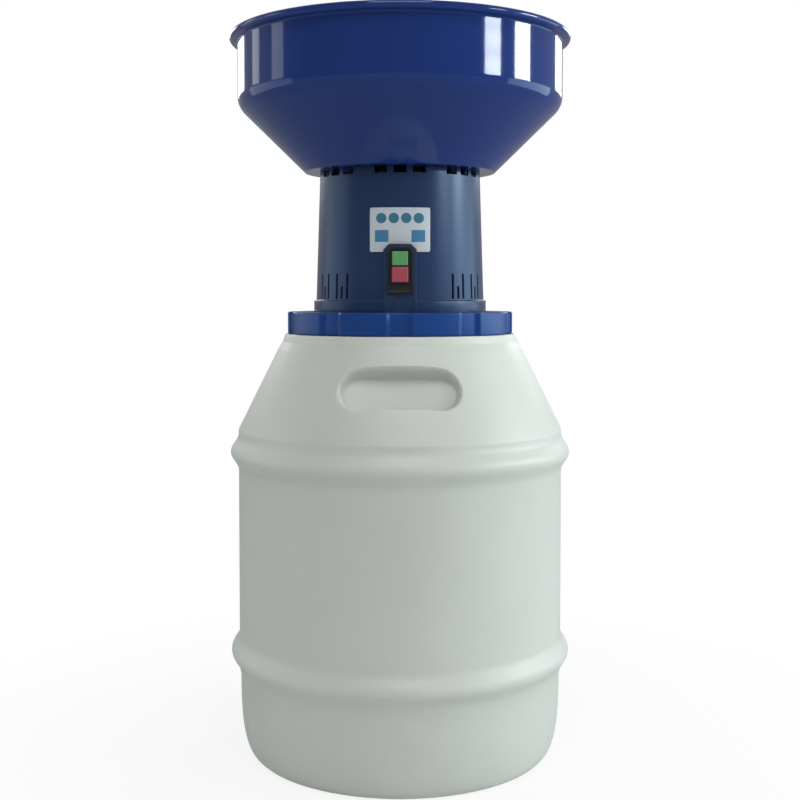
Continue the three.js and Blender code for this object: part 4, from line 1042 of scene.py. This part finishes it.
class MILL_OT_housing(Operator):
    """Model the motor housing with its collar, slots, vents and switch pad"""

    bl_idname = "mill.housing"
    bl_label = "Housing"

    def execute(self, context):
        sizes = context.scene.mill_housing
        heights = {
            "slot": COLLAR + 0.002, "short": COLLAR + 0.0162, "tall": COLLAR + 0.0305,
            "vent": HOUSING_TOP - 0.0076,
        }
        outline = [
            (sizes.collar_radius, HOUSING_FOOT), (sizes.collar_radius, HOUSING_FOOT + 0.010),
            (sizes.collar_radius, COLLAR - 0.0004), (sizes.collar_radius - 0.0005, COLLAR),
            (sizes.foot_radius + 0.0004, COLLAR + 0.0003), (sizes.foot_radius, WALL_FOOT),
        ]
        rows = []
        for row in (heights["slot"], heights["short"], heights["tall"]):
            rows += [row - EDGE_ROW, row, row + EDGE_ROW]
        rows += [0.600, 0.640, heights["vent"] - 0.0012, heights["vent"]]
        outline += [(wall_radius(sizes, row), row) for row in rows + [HOUSING_TOP]]
        piece = trace("housing_body", [(0, -p[0], p[1]) for p in outline])
        bpy.ops.mesh.select_all(action="SELECT")
        steps = GROUPS * GROUP_STEPS
        half_step = FULL_TURN / steps / 2
        bpy.ops.mesh.spin(steps=steps, angle=FULL_TURN, center=(0, 0, 0), axis=(0, 0, 1))
        bpy.ops.mesh.select_all(action="SELECT")
        bpy.ops.mesh.remove_doubles(threshold=DOUBLES)
        bpy.ops.mesh.select_all(action="SELECT")
        bpy.ops.transform.rotate(value=half_step, orient_axis="Z", center_override=(0, 0, 0))
        bpy.ops.mesh.normals_make_consistent(inside=False)
        pick("FACE", lambda face: housing_opening(face, heights))
        bpy.ops.mesh.delete(type="FACE")
        leave()
        modify(piece, "SOLIDIFY", thickness=sizes.wall, offset=-1.0, use_even_offset=True)
        bevelled(piece, 0.00035, angle=50)

        pad_outline = softened(chamfered(PAD_HALF, HOUSING_FOOT, PAD_TOP, PAD_CHAMFER, 0.0008))
        pad = prism("pad", pad_outline, BEHIND_WALL, PAD_FRONT)
        bevelled(pad, 0.0006, segments=3)
        half_wall = sizes.wall / 2
        below = HOUSING_FOOT - PAST
        bore = turned("bore", [
            (0, below), (sizes.collar_radius - half_wall, below),
            (sizes.collar_radius - half_wall, COLLAR - 0.001),
            (sizes.foot_radius - half_wall, COLLAR), (sizes.top_radius - half_wall, HOUSING_TOP),
            (0, HOUSING_TOP),
        ], ROUND_STEPS)
        merge(pad, bore, "DIFFERENCE")
        merge(piece, pad, "UNION")
        upper = circle_places(4, HOPPER_SCREW_CIRCLE)
        lower = circle_places(4, BASE_SCREW_CIRCLE)
        for places, bottom, top in (
            (upper, HOUSING_TOP - 0.019, HOUSING_TOP - 0.0001),
            (lower, HOUSING_FOOT + 0.0001, HOUSING_FOOT + 0.015),
        ):
            for x, y in places:
                merge(piece, round_cutter(x, y, BOSS_RADIUS, bottom, top), "UNION")
        drilled(piece, upper, SCREW_HOLE, HOUSING_TOP - 0.0163, HOUSING_TOP + PAST, 24)
        drilled(piece, lower, SCREW_HOLE, HOUSING_FOOT - PAST, HOUSING_FOOT + 0.013, 24)
        hole_outline = softened(rounded_box(*SWITCH_HOLE))
        merge(piece, prism("hole", hole_outline, -0.12, -0.07), "DIFFERENCE")
        bored(piece, GLAND_HOLE, 0.08, 0.12, GLAND_HEIGHT)
        dress(piece, "housing_plastic", "head", "housing_shell")
        return {"FINISHED"}


# Hopper

CONE_FOOT = 0.113
BEND_HEIGHT = HOPPER_FOOT + 0.077
BEAD_RADIUS = 0.1970
HOPPER_WALL = 0.003
HOPPER_STEPS = 320
BEAD_STEPS = 20


class MILL_OT_hopper(Operator):
    """Model the hopper with its cone, bend, upright wall and beaded rim"""

    bl_idname = "mill.hopper"
    bl_label = "Hopper"

    def execute(self, context):
        sizes = context.scene.mill_hopper
        rim = HOPPER_TOP - 2 * sizes.bead
        outer = softened([
            (0, HOPPER_FOOT, 0), (0.060, HOPPER_FOOT, 0), (CONE_FOOT, HOPPER_FOOT, 0.0015),
            (sizes.radius, BEND_HEIGHT, sizes.bend), (sizes.radius, rim - 0.0012, 0.0022),
            (0.1975, rim + 0.0004, 0),
        ], closed=False)
        bead_height = HOPPER_TOP - sizes.bead
        bead_start, bead_turn = -80, 245
        bead = []
        for step in range(BEAD_STEPS + 1):
            angle = math.radians(bead_start + step / BEAD_STEPS * bead_turn)
            out = BEAD_RADIUS + sizes.bead * math.cos(angle)
            bead.append((out, bead_height + sizes.bead * math.sin(angle)))
        inner_radius = sizes.radius - HOPPER_WALL
        inner = softened([
            bead[-1] + (0,), (inner_radius, rim - 0.004, 0.015),
            (inner_radius, BEND_HEIGHT + 0.00125, sizes.bend - HOPPER_WALL),
            (CONE_FOOT - 0.0012, HOPPER_FLOOR, 0.006), (0.060, HOPPER_FLOOR, 0), (0, HOPPER_FLOOR, 0),
        ], closed=False)
        piece = turned("hopper_bowl", held(outer[:-1] + bead + inner[1:]), HOPPER_STEPS)
        through = (HOPPER_FOOT - PAST, HOPPER_FLOOR + PAST)
        drilled(piece, [(FEED_X, 0)], FEED_RADIUS, *through, 96)
        drilled(piece, [(PIVOT_X, 0)], PIN_HOLE, *through)
        drilled(piece, circle_places(4, HOPPER_SCREW_CIRCLE), SCREW_HOLE, *through)
        dress(piece, "hopper_plastic", "head", "hopper")
        return {"FINISHED"}


# Switch and label

SWITCH_BACK = -0.1037
SWITCH_FRONT = -0.1082
# Half width, foot, top and corner of the frame, its recess and the block behind it
SWITCH_FRAME = (0.0144, 0.546, 0.5978, 0.004, 0.001)
SWITCH_RECESS = (0.0126, 0.5478, 0.5960, 0.0035, 0.0008)
SWITCH_BLOCK = (0.011, 0.5489, 0.5949, 0.0008)
# Half width, foot and top of each button
START_BUTTON = (0.0088, 0.5768, 0.5924)
STOP_BUTTON = (0.0091, 0.5580, 0.5752)
BUTTON_PLAY = 0.0003
# The dish of a button's face: how far in from its edge, and the step in depth
DISH = (
    (0.0002, -0.0004), (0.0006, -0.0003), (0.0011, -0.0001), (0.0018, 0.0),
    (0.0026, 0.0001), (0.0036, 0.0001), (0.0048, 0.00005),
)
# Half width, foot and top of the label, and the thickness and steps of its curved film
LABEL = (0.0338, 0.5923, 0.6419)
LABEL_FILM = 0.0008
FILM_STEPS = 480


class MILL_OT_switch(Operator):
    """Model the switch with its bezel, its two buttons and the label above it"""

    bl_idname = "mill.switch"
    bl_label = "Switch and Label"

    def execute(self, context):
        frame_outline = softened(chamfered(*SWITCH_FRAME))
        bezel = prism("switch_frame", frame_outline, SWITCH_BACK, SWITCH_FRONT)
        recess = softened(chamfered(*SWITCH_RECESS))
        merge(
            bezel, prism("recess", recess, SWITCH_FRONT + 0.0009, SWITCH_FRONT - 0.002), "DIFFERENCE",
        )
        bevelled(bezel, 0.0004)
        block_outline = softened(rounded_box(*SWITCH_BLOCK))
        merge(bezel, prism("switch_block", block_outline, -0.106, -0.0724), "UNION")
        for half, bottom, top in (START_BUTTON, STOP_BUTTON):
            pocket_outline = softened(rounded_box(
                half + BUTTON_PLAY, bottom - BUTTON_PLAY, top + BUTTON_PLAY, 0.0008,
            ))
            merge(bezel, prism("pocket", pocket_outline, -0.12, SWITCH_FRONT + 0.0115), "DIFFERENCE")
        dress(bezel, "black_plastic", "head", "switch_body")

        for name, (half, bottom, top), slot in (
            ("start_button", START_BUTTON, "green_plastic"),
            ("stop_button", STOP_BUTTON, "red_plastic"),
        ):
            outline = softened(rounded_box(half, bottom, top, 0.0012))
            button = prism(f"{name}_cap", outline, -0.1004, -0.1104)
            edit(button)
            pick("FACE", lambda face: face.normal.y < -0.99)
            bpy.ops.transform.translate(value=(0, 0.0008, 0))
            middle = (0, 0, (bottom + top) / 2)
            half_height = (top - bottom) / 2
            before = 0.0
            for inset, step in DISH:
                across = (half - inset) / (half - before)
                upward = (half_height - inset) / (half_height - before)
                bpy.ops.mesh.extrude_region_move(TRANSFORM_OT_translate={"value": (0, step, 0)})
                bpy.ops.transform.resize(value=(across, 1, upward), center_override=middle)
                before = inset
            leave()
            dress(button, slot, name, name)

        half, bottom, top = LABEL
        outline = softened(rounded_box(half, bottom, top, 0.002))
        plan = prism("label_film_sheet", outline, BEHIND_WALL, -0.120)
        sizes = context.scene.mill_housing
        low, high = bottom - 0.006, top + 0.006
        near_low = wall_radius(sizes, low) + 0.0003
        near_high = wall_radius(sizes, high) + 0.0003
        film = turned("film", [
            (near_low, low), (near_low + LABEL_FILM, low), (near_high + LABEL_FILM, high),
            (near_high, high),
        ], FILM_STEPS, closed=True)
        merge(plan, film, "INTERSECT")
        notch = softened(chamfered(PAD_HALF + 0.0006, 0.580, PAD_TOP + 0.0006, PAD_CHAMFER))
        merge(plan, prism("notch", notch, BEHIND_WALL, -0.13), "DIFFERENCE")
        bevelled(plan, 0.0002, angle=50)
        dress(plan, "label_film", "head", "label_plate")
        return {"FINISHED"}


# Fasteners


SCREW_HEAD = 0.003
SCREW_SHANK = 0.002
SCREW_PITCH = 0.0008
CROSS_DEPTH = 0.0016


def cross_recess(top):
    """The cutter of a cross recess in the head of a screw on the axis."""
    bars = []
    for half_x, half_y in ((0.0021, 0.00045), (0.00045, 0.0021)):
        outline = [(-half_x, -half_y), (half_x, -half_y), (half_x, half_y), (-half_x, half_y)]
        bars.append(prism("cross", outline, top - CROSS_DEPTH, top + 0.002, upright=True))
    merge(bars[0], bars[1], "UNION")
    return bars[0]


def pan_screw(name, shank):
    """A round-headed screw with a cross recess, its head's underside at the origin."""
    head = softened([
        (0.0012, 0.00295, 0), (0.0030, 0.0025, 0.002), (0.004, 0.0010, 0.0006), (0.004, 0, 0.0003),
        (SCREW_SHANK, 0, 0.0002), (SCREW_SHANK, -0.001, 0),
    ], closed=False)
    thread = []
    height = -0.0012
    while height > -shank + 0.0012:
        thread.append(Vector((SCREW_SHANK, height)))
        thread.append(Vector((0.0016, height - SCREW_PITCH / 2)))
        thread.append(Vector((SCREW_SHANK, height - SCREW_PITCH)))
        height -= SCREW_PITCH
    screw = turned(name, [Vector((0, SCREW_HEAD)), *head, *thread, Vector((0, -shank))], 32)
    merge(screw, cross_recess(SCREW_HEAD), "DIFFERENCE")
    return screw


class MILL_OT_fasteners(Operator):
    """Model the screws of the hopper and the base plate"""

    bl_idname = "mill.fasteners"
    bl_label = "Fasteners"

    def execute(self, context):
        pattern = pan_screw("screw_pattern", 0.016)
        for index, (x, y) in enumerate(circle_places(4, HOPPER_SCREW_CIRCLE), 1):
            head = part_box(f"hopper_screw_{index}")[1].z - SCREW_HEAD
            screw = copied(pattern, f"hopper_screw_{index}_part", (x, y, head), index * 0.6)
            dress(screw, "zinc_steel", "head", f"hopper_screw_{index}")
        bpy.data.objects.remove(pattern)
        pattern = pan_screw("screw_pattern", 0.018)
        edit(pattern)
        bpy.ops.mesh.select_all(action="SELECT")
        bpy.ops.transform.resize(value=(1, -1, -1), center_override=(0, 0, 0))
        leave()
        for index, (x, y) in enumerate(circle_places(4, BASE_SCREW_CIRCLE), 1):
            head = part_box(f"base_screw_{index}")[0].z + SCREW_HEAD
            screw = copied(pattern, f"base_screw_{index}_part", (x, y, head), index * 0.8)
            dress(screw, "zinc_steel", "head", f"base_screw_{index}")
        bpy.data.objects.remove(pattern)
        return {"FINISHED"}


# Shutter and feed duct

KNOB_STEPS = 96
KNOB_RIB = 0.955


class MILL_OT_shutter(Operator):
    """Model the shutter, its knob and pivot screw, and the feed duct"""

    bl_idname = "mill.shutter"
    bl_label = "Shutter"

    def execute(self, context):
        bottom, top = HOPPER_FLOOR + 0.0003, HOPPER_FLOOR + 0.0023
        plate = prism("shutter_cover", softened([
            (FEED_X - 0.019, -0.019, 0.0185), (FEED_X + 0.0145, -0.019, 0.008),
            (FEED_X + 0.0225, -0.009, 0.006), (-0.006, -0.008, 0.0078), (-0.006, 0.008, 0.0078),
            (FEED_X + 0.0225, 0.009, 0.006), (FEED_X + 0.0145, 0.019, 0.008),
            (FEED_X - 0.019, 0.019, 0.0185),
        ]), bottom, top, upright=True)
        bevelled(plate, 0.0004)
        drilled(plate, [(PIVOT_X, 0)], PIN_HOLE, bottom - PAST, top + PAST)
        dress(plate, "zinc_steel", "shutter", "shutter_plate")

        foot, tip = (corner.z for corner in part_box("shutter_knob"))
        knob = turned("shutter_grip", softened([
            (0, foot, 0), (0.004, foot, 0.0004), (0.004, tip - 0.018, 0.002),
            (0.0085, tip - 0.0145, 0.001), (0.011, tip - 0.011, 0.0025), (0.011, tip - 0.005, 0.003),
            (0.0075, tip - 0.0006, 0.002), (0.003, tip, 0), (0, tip - 0.0003, 0),
        ], closed=False), KNOB_STEPS)
        edit(knob)
        pick("VERT", lambda vertex: (
            math.hypot(vertex.co.x, vertex.co.y) > 0.0095
            and round(math.atan2(vertex.co.y, vertex.co.x) * KNOB_STEPS / FULL_TURN) % 4 == 0
        ))
        bpy.ops.transform.resize(value=(KNOB_RIB, KNOB_RIB, 1), center_override=(0, 0, 0))
        leave()
        shifted(knob, KNOB_X)
        dress(knob, "black_plastic", "shutter", "shutter_knob")

        low, high = (corner.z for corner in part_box("shutter_pivot_screw"))
        screw = turned("pivot_screw_part", softened([
            (0, high, 0), (0.0045, high, 0), (0.007, high - 0.0006, 0.0012),
            (0.007, high - 0.003, 0.0003), (0.003, high - 0.003, 0.0002),
            (0.003, low, 0.0003), (0, low, 0),
        ], closed=False), 64)
        merge(screw, cross_recess(high), "DIFFERENCE")
        shifted(screw, PIVOT_X)
        dress(screw, "zinc_steel", "head", "shutter_pivot_screw")

        low, high = (corner.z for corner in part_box("feed_duct"))
        duct = turned("feed_pipe", softened([
            (FEED_RADIUS, low, 0.0004), (0.017, low, 0.0004), (0.017, high, 0.0004),
            (FEED_RADIUS, high, 0.0004),
        ]), 96, closed=True, centre=(FEED_X, 0, 0))
        dress(duct, "black_plastic", "head", "feed_duct")
        return {"FINISHED"}


# Cable gland at the back

GLAND_STEPS = 72
GLAND_RIB = 0.95


class MILL_OT_gland(Operator):
    """Model the cable gland at the back and its nut"""

    bl_idname = "mill.gland"
    bl_label = "Cable Gland"

    def execute(self, context):
        low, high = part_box("cable_gland")
        middle = (low.z + high.z) / 2
        seat = high.y - 0.018
        outline = hexagon(0.012, middle)
        gland = prism("gland_body", outline, seat, seat + 0.006)
        bevelled(gland, 0.0007)
        dome = turned("dome", softened([
            (0.0045, low.y, 0.0004), (0.008, low.y, 0.0008), (0.008, seat + 0.003, 0),
            (0.0095, seat + 0.003, 0), (0.0095, seat + 0.012, 0.003), (0.007, high.y, 0.001),
            (0.0045, high.y, 0.0008),
        ]), GLAND_STEPS, closed=True, centre=(0, 0, middle), along="Y")
        edit(dome)
        pick("VERT", lambda vertex: (
            vertex.co.y > seat + 0.0062
            and math.hypot(vertex.co.x, vertex.co.z - middle) > 0.0090
            and round(math.atan2(vertex.co.x, vertex.co.z - middle) * GLAND_STEPS / FULL_TURN) % 4 == 0
        ))
        bpy.ops.transform.resize(value=(GLAND_RIB, 1, GLAND_RIB), center_override=(0, 0, middle))
        leave()
        bored(gland, GLAND_BORE, seat - 0.005, seat + 0.02, middle)
        merge(gland, dome, "UNION")
        dress(gland, "black_plastic", "head", "cable_gland")

        low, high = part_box("gland_nut")
        nut = prism("gland_nut_part", outline, low.y, high.y)
        bevelled(nut, 0.0006)
        bored(nut, GLAND_HOLE, low.y - PAST, high.y + PAST, middle)
        dress(nut, "black_plastic", "head", "gland_nut")
        return {"FINISHED"}


# Sieve and blade

BAND_RADIUS = 0.0895
BAND_SHEET = 0.0015
BAND_MARGIN = 0.004
HOLE_MARGIN = 0.0009
STUD_RADIUS = 0.003
STUD_PITCH = 0.001
WING_HOLE = 0.0033


class MILL_OT_sieve(Operator):
    """Model the sieve, its disc, its studs and wing nuts, and the hammer blade"""

    bl_idname = "mill.sieve"
    bl_label = "Sieve and Blade"

    def execute(self, context):
        sizes = context.scene.mill_sieve
        low, high = (corner.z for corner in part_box("sieve_band"))
        first, last = low + BAND_MARGIN, high - BAND_MARGIN
        holed = high - low - 2 * BAND_MARGIN
        rows = [first + holed * (row + 1) / sizes.rows for row in range(sizes.rows)]
        heights = [low, first, *rows, high]
        band = turned("sieve_sheet", [(BAND_RADIUS, height) for height in heights], sizes.columns)
        edit(band)
        pick("FACE", lambda face: first < face.calc_center_median().z < last)
        bpy.ops.mesh.inset(thickness=HOLE_MARGIN, use_individual=True)
        bpy.ops.mesh.delete(type="FACE")
        leave()
        modify(band, "SOLIDIFY", thickness=BAND_SHEET, offset=-1.0, use_even_offset=True)
        dress(band, "bright_steel", "head", "sieve_band", angle=25)

        low, high = (corner.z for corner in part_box("sieve_disc"))
        disc = turned("sieve_floor", softened([
            (0, low, 0), (0.090, low, 0), (0.104, low, 0.0008), (0.104, high, 0.0008), (0.091, high, 0),
            (0.0903, high - 0.0008, 0), (0.087, high - 0.0008, 0), (0.0863, high, 0), (0, high, 0),
        ], closed=False), 192)
        drilled(disc, circle_places(3, STUD_CIRCLE, math.pi / 2), PIN_HOLE, low - PAST, high + PAST)
        dress(disc, "zinc_steel", "head", "sieve_disc", finish_name="turned_steel")

        low, high = (corner.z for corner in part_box("sieve_stud_1"))
        outline = [(0, low), (0.0024, low), (STUD_RADIUS, low + 0.0006)]
        height = low + 0.0006
        while height < low + 0.021:
            outline.append((STUD_RADIUS, height + 0.0004))
            outline.append((0.0026, height + 0.0007))
            outline.append((STUD_RADIUS, height + STUD_PITCH))
            height += STUD_PITCH
        outline += [(STUD_RADIUS, high - 0.0005), (0.0026, high), (0, high)]
        stud = turned("stud_pattern", outline, 32)
        hub_low, hub_high = (corner.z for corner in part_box("wing_nut_1"))
        wing = prism("wing_pattern", softened([
            (-0.0045, hub_low + 0.0002, 0.0), (0.0045, hub_low + 0.0002, 0.0),
            (0.0125, hub_low + 0.0022, 0.0012), (0.013, hub_low + 0.005, 0.0006),
            (0.0085, hub_low + 0.005, 0.001), (0.0045, hub_low + 0.0035, 0.0),
            (-0.0045, hub_low + 0.0035, 0.0), (-0.0085, hub_low + 0.005, 0.001),
            (-0.013, hub_low + 0.005, 0.0006), (-0.0125, hub_low + 0.0022, 0.0012),
        ]), -0.0012, 0.0012)
        bevelled(wing, 0.0004)
        merge(wing, turned("hub", softened([
            (0, hub_low, 0), (0.006, hub_low, 0.0005), (0.0052, hub_high, 0.0006), (0, hub_high, 0),
        ], closed=False), 48), "UNION")
        drilled(wing, [(0, 0)], WING_HOLE, hub_low - PAST, hub_high + PAST)
        for index, (x, y) in enumerate(circle_places(3, STUD_CIRCLE, math.pi / 2), 1):
            bolt = copied(stud, f"sieve_stud_{index}_part", (x, y, 0))
            dress(bolt, "zinc_steel", "head", f"sieve_stud_{index}", angle=50)
            nut = copied(wing, f"wing_nut_{index}_part", (x, y, 0))
            dress(nut, "zinc_steel", "head", f"wing_nut_{index}")
        bpy.data.objects.remove(stud)
        bpy.data.objects.remove(wing)

        low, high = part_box("hammer_blade")
        reach, side = high.x, high.y
        blade = prism("blade_bar", [
            (-reach + 0.010, -side), (reach, -side), (reach, side - 0.010), (reach - 0.010, side),
            (-reach, side), (-reach, -side + 0.010),
        ], low.z, high.z, upright=True)
        drilled(blade, [(0, 0)], SHAFT_HOLE, low.z - PAST, high.z + PAST, 48)
        bevelled(blade, 0.0005)
        dress(blade, "bright_steel", "rotor", "hammer_blade")

        low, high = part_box("blade_nut")
        nut = prism("blade_nut_part", hexagon(0.009), low.z, high.z, upright=True)
        bevelled(nut, 0.0007)
        drilled(nut, [(0, 0)], SHAFT_HOLE, low.z - PAST, high.z + PAST, 48)
        dress(nut, "zinc_steel", "rotor", "blade_nut")
        return {"FINISHED"}


# Motor pieces that keep the frame's shapes

MOTOR_FINISHES = {
    "laminated_steel": ("stator_core", "armature_core"),
    "copper": ("field_coil_right", "field_coil_left", "armature_winding"),
    "commutator_copper": ("commutator",),
    "cast_aluminium": (
        "motor_bracket_lower", "motor_bracket_upper", "brush_holder_front", "brush_holder_back",
    ),
    "turned_steel": ("bearing_lower", "bearing_upper", "rotor_shaft"),
    "zinc_steel": ("motor_bolt_1", "motor_bolt_2", "motor_bolt_3", "motor_bolt_4", "blade_sleeve"),
    "carbon": ("carbon_brush_front", "carbon_brush_back"),
    "black_plastic": ("cooling_fan",),
    "cream_plastic": ("terminal_block",),
}


class MILL_OT_motor(Operator):
    """Give the motor's pieces inside the housing their materials"""

    bl_idname = "mill.motor"
    bl_label = "Motor Finishes"

    def execute(self, context):
        finishes = materials(context.scene)
        for finish_name, names in MOTOR_FINISHES.items():
            for name in names:
                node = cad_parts[name]
                node.data.materials.clear()
                node.data.materials.append(finishes[finish_name])
        return {"FINISHED"}


# Stage

WHITE = (1.0, 1.0, 1.0, 1.0)


def area_light(name, place, target, width, height, power, tint=(1.0, 1.0, 1.0)):
    """An area light that looks at a target."""
    bpy.ops.object.select_all(action="DESELECT")
    bpy.ops.object.light_add(type="AREA", location=place)
    light = bpy.context.active_object
    light.name = name
    light.data.shape = "RECTANGLE"
    light.data.size = width
    light.data.size_y = height
    light.data.energy = power
    light.data.color = tint
    aim = Vector(target) - Vector(place)
    light.rotation_euler = aim.to_track_quat("-Z", "Y").to_euler()


class MILL_OT_stage(Operator):
    """Make the floor, the lights, the world and the camera"""

    bl_idname = "mill.stage"
    bl_label = "Stage"

    def execute(self, context):
        sizes = context.scene.mill_stage
        floor = begin("floor", bpy.ops.mesh.primitive_plane_add, size=200)
        material = bpy.data.materials.new("Pale Floor")
        material.use_nodes = True
        tree = material.node_tree
        shader = tree.nodes["Principled BSDF"]
        place = put(tree, "TexCoord").outputs["Object"]
        noise = put(tree, "TexNoise", {"Vector": place, "Scale": 30.0, "Detail": 3.0}).outputs[0]
        patches = spread(tree, noise, 0.3, 0.7, 0.0, 0.15)
        shade = mixed(tree, patches, opaque(sizes.floor), WHITE)
        tree.links.new(shade, shader.inputs["Base Color"])
        shader.inputs["Roughness"].default_value = 0.8
        shader.inputs["Specular IOR Level"].default_value = 0.2
        glow = put(tree, "Emission", {"Color": WHITE, "Strength": 1.0})
        ray = put(tree, "LightPath")
        seen = math_node(tree, "MAXIMUM", ray.outputs["Is Camera Ray"], ray.outputs["Is Transmission Ray"])
        away = put(tree, "VectorMath", {0: place}, operation="LENGTH").outputs[1]
        share_lit = math_node(tree, "MULTIPLY", seen, spread(tree, away, 0.22, 0.7, 0.84, 1.0))
        lit = put(tree, "MixShader", {0: share_lit, 1: shader.outputs[0], 2: glow.outputs[0]})
        dim = put(tree, "Emission", {"Color": WHITE, "Strength": 0.3})
        blend = put(tree, "MixShader", {
            0: ray.outputs["Is Glossy Ray"], 1: lit.outputs[0], 2: dim.outputs[0],
        })
        tree.links.new(blend.outputs[0], tree.nodes["Material Output"].inputs["Surface"])
        floor.data.materials.append(material)

        world = context.scene.world or bpy.data.worlds.new("World")
        context.scene.world = world
        world.use_nodes = True
        tree = world.node_tree
        tree.nodes.clear()
        direction = put(tree, "TexCoord").outputs["Generated"]
        ahead = put(tree, "SeparateXYZ", {0: direction}).outputs[1]
        behind = spread(tree, ahead, -0.35, 0.25, 0.10, 0.35)
        ray = put(tree, "LightPath")
        seen = math_node(tree, "MAXIMUM", ray.outputs["Is Camera Ray"], ray.outputs["Is Transmission Ray"])
        soft = put(tree, "Background", {"Color": WHITE, "Strength": 0.345})
        mirrored = put(tree, "Background", {"Color": WHITE, "Strength": behind})
        bright = put(tree, "Background", {"Color": WHITE, "Strength": 1.0})
        first = put(tree, "MixShader", {
            0: ray.outputs["Is Glossy Ray"], 1: soft.outputs[0], 2: mirrored.outputs[0],
        })
        second = put(tree, "MixShader", {0: seen, 1: first.outputs[0], 2: bright.outputs[0]})
        end = put(tree, "OutputWorld")
        tree.links.new(second.outputs[0], end.inputs["Surface"])

        angle = math.radians(63.8)
        across, forward = 3.0 * math.sin(angle), -3.0 * math.cos(angle)
        lowest, pane_pitch = 1.22, 0.085
        for index in range(5):
            height = lowest + pane_pitch * index
            spot = (across, forward, height)
            area_light(f"window_pane_{index}", spot, (0, 0, height), 0.65, 0.072, 3.6)
        area_light("tall_strip", (3.0, 0, 1.4), (0, 0, 1.4), 0.78, 0.5, 30)
        area_light("left_strip", (-3.0, 0, 1.7), (0, 0, 1.7), 0.6, 1.0, 3)
        area_light("left_far_strip", (-2.7, 1.3, 1.7), (0, 0, 1.7), 0.5, 1.0, 3)
        area_light("right_edge", (1.742, 2.442, 1.4), (0, 0, 1.4), 1.0, 0.6, 11)
        area_light("left_edge", (-1.634, 2.516, 1.4), (0, 0, 1.4), 1.12, 0.6, 12)
        area_light("right_soft", (2.46, 0.43, 0.6), (0, 0, 0.6), 2.2, 0.9, 13, (0.68, 0.85, 1.0))
        area_light("left_soft", (-2.46, 0.43, 0.6), (0, 0, 0.6), 2.2, 0.9, 5, (0.85, 0.94, 1.0))
        area_light("overhead", (0, -1.9, 2.9), (0, 0, 0.55), 1.6, 1.6, 30)

        bpy.ops.object.select_all(action="DESELECT")
        bpy.ops.object.camera_add(
            location=(0, -sizes.distance, sizes.height), rotation=(math.pi / 2 - sizes.tilt, 0, 0),
        )
        camera = bpy.context.active_object
        camera.name = "camera"
        camera.data.lens = sizes.focal
        camera.data.sensor_width = 36
        camera.data.shift_y = sizes.shift
        context.scene.camera = camera
        context.scene.view_settings.view_transform = "Standard"
        return {"FINISHED"}


class MILL_PT_sidebar(Panel):
    """Sizes, colours and steps of the grain mill."""

    bl_label = "Grain Mill"
    bl_idname = "MILL_PT_sidebar"
    bl_space_type = "VIEW_3D"
    bl_region_type = "UI"
    bl_category = "Grain Mill"

    def draw(self, context):
        for title, settings, step in STEPS:
            box = self.layout.box()
            box.label(text=title)
            if settings:
                group = getattr(context.scene, settings)
                for key in group.__annotations__:
                    box.prop(group, key)
            box.operator(step)


STEPS = (
    ("Barrel", "mill_barrel", "mill.barrel"),
    ("Ring and Plate", "mill_ring", "mill.ring"),
    ("Housing", "mill_housing", "mill.housing"),
    ("Hopper", "mill_hopper", "mill.hopper"),
    ("Switch and Label", "mill_switch", "mill.switch"),
    ("Fasteners", None, "mill.fasteners"),
    ("Shutter", None, "mill.shutter"),
    ("Cable Gland", None, "mill.gland"),
    ("Sieve and Blade", "mill_sieve", "mill.sieve"),
    ("Motor", None, "mill.motor"),
    ("Stage", "mill_stage", "mill.stage"),
)

SETTINGS = {
    "mill_barrel": MILL_PG_barrel, "mill_ring": MILL_PG_ring, "mill_housing": MILL_PG_housing,
    "mill_hopper": MILL_PG_hopper, "mill_switch": MILL_PG_switch, "mill_sieve": MILL_PG_sieve,
    "mill_stage": MILL_PG_stage,
}

CLASSES = (
    *SETTINGS.values(), MILL_OT_barrel, MILL_OT_ring, MILL_OT_housing, MILL_OT_hopper,
    MILL_OT_switch, MILL_OT_fasteners, MILL_OT_shutter, MILL_OT_gland, MILL_OT_sieve,
    MILL_OT_motor, MILL_OT_stage, MILL_PT_sidebar,
)


def register():
    """Adds the classes and the scene's settings."""
    for item in CLASSES:
        bpy.utils.register_class(item)
    for key, group in SETTINGS.items():
        setattr(bpy.types.Scene, key, PointerProperty(type=group))


def unregister():
    """Removes the scene's settings and the classes."""
    for key in SETTINGS:
        delattr(bpy.types.Scene, key)
    for item in reversed(CLASSES):
        bpy.utils.unregister_class(item)


def main():
    register()
    for _, _, step in STEPS:
        group, name = step.split(".")
        getattr(getattr(bpy.ops, group), name)()


if __name__ == "__main__":
    main()
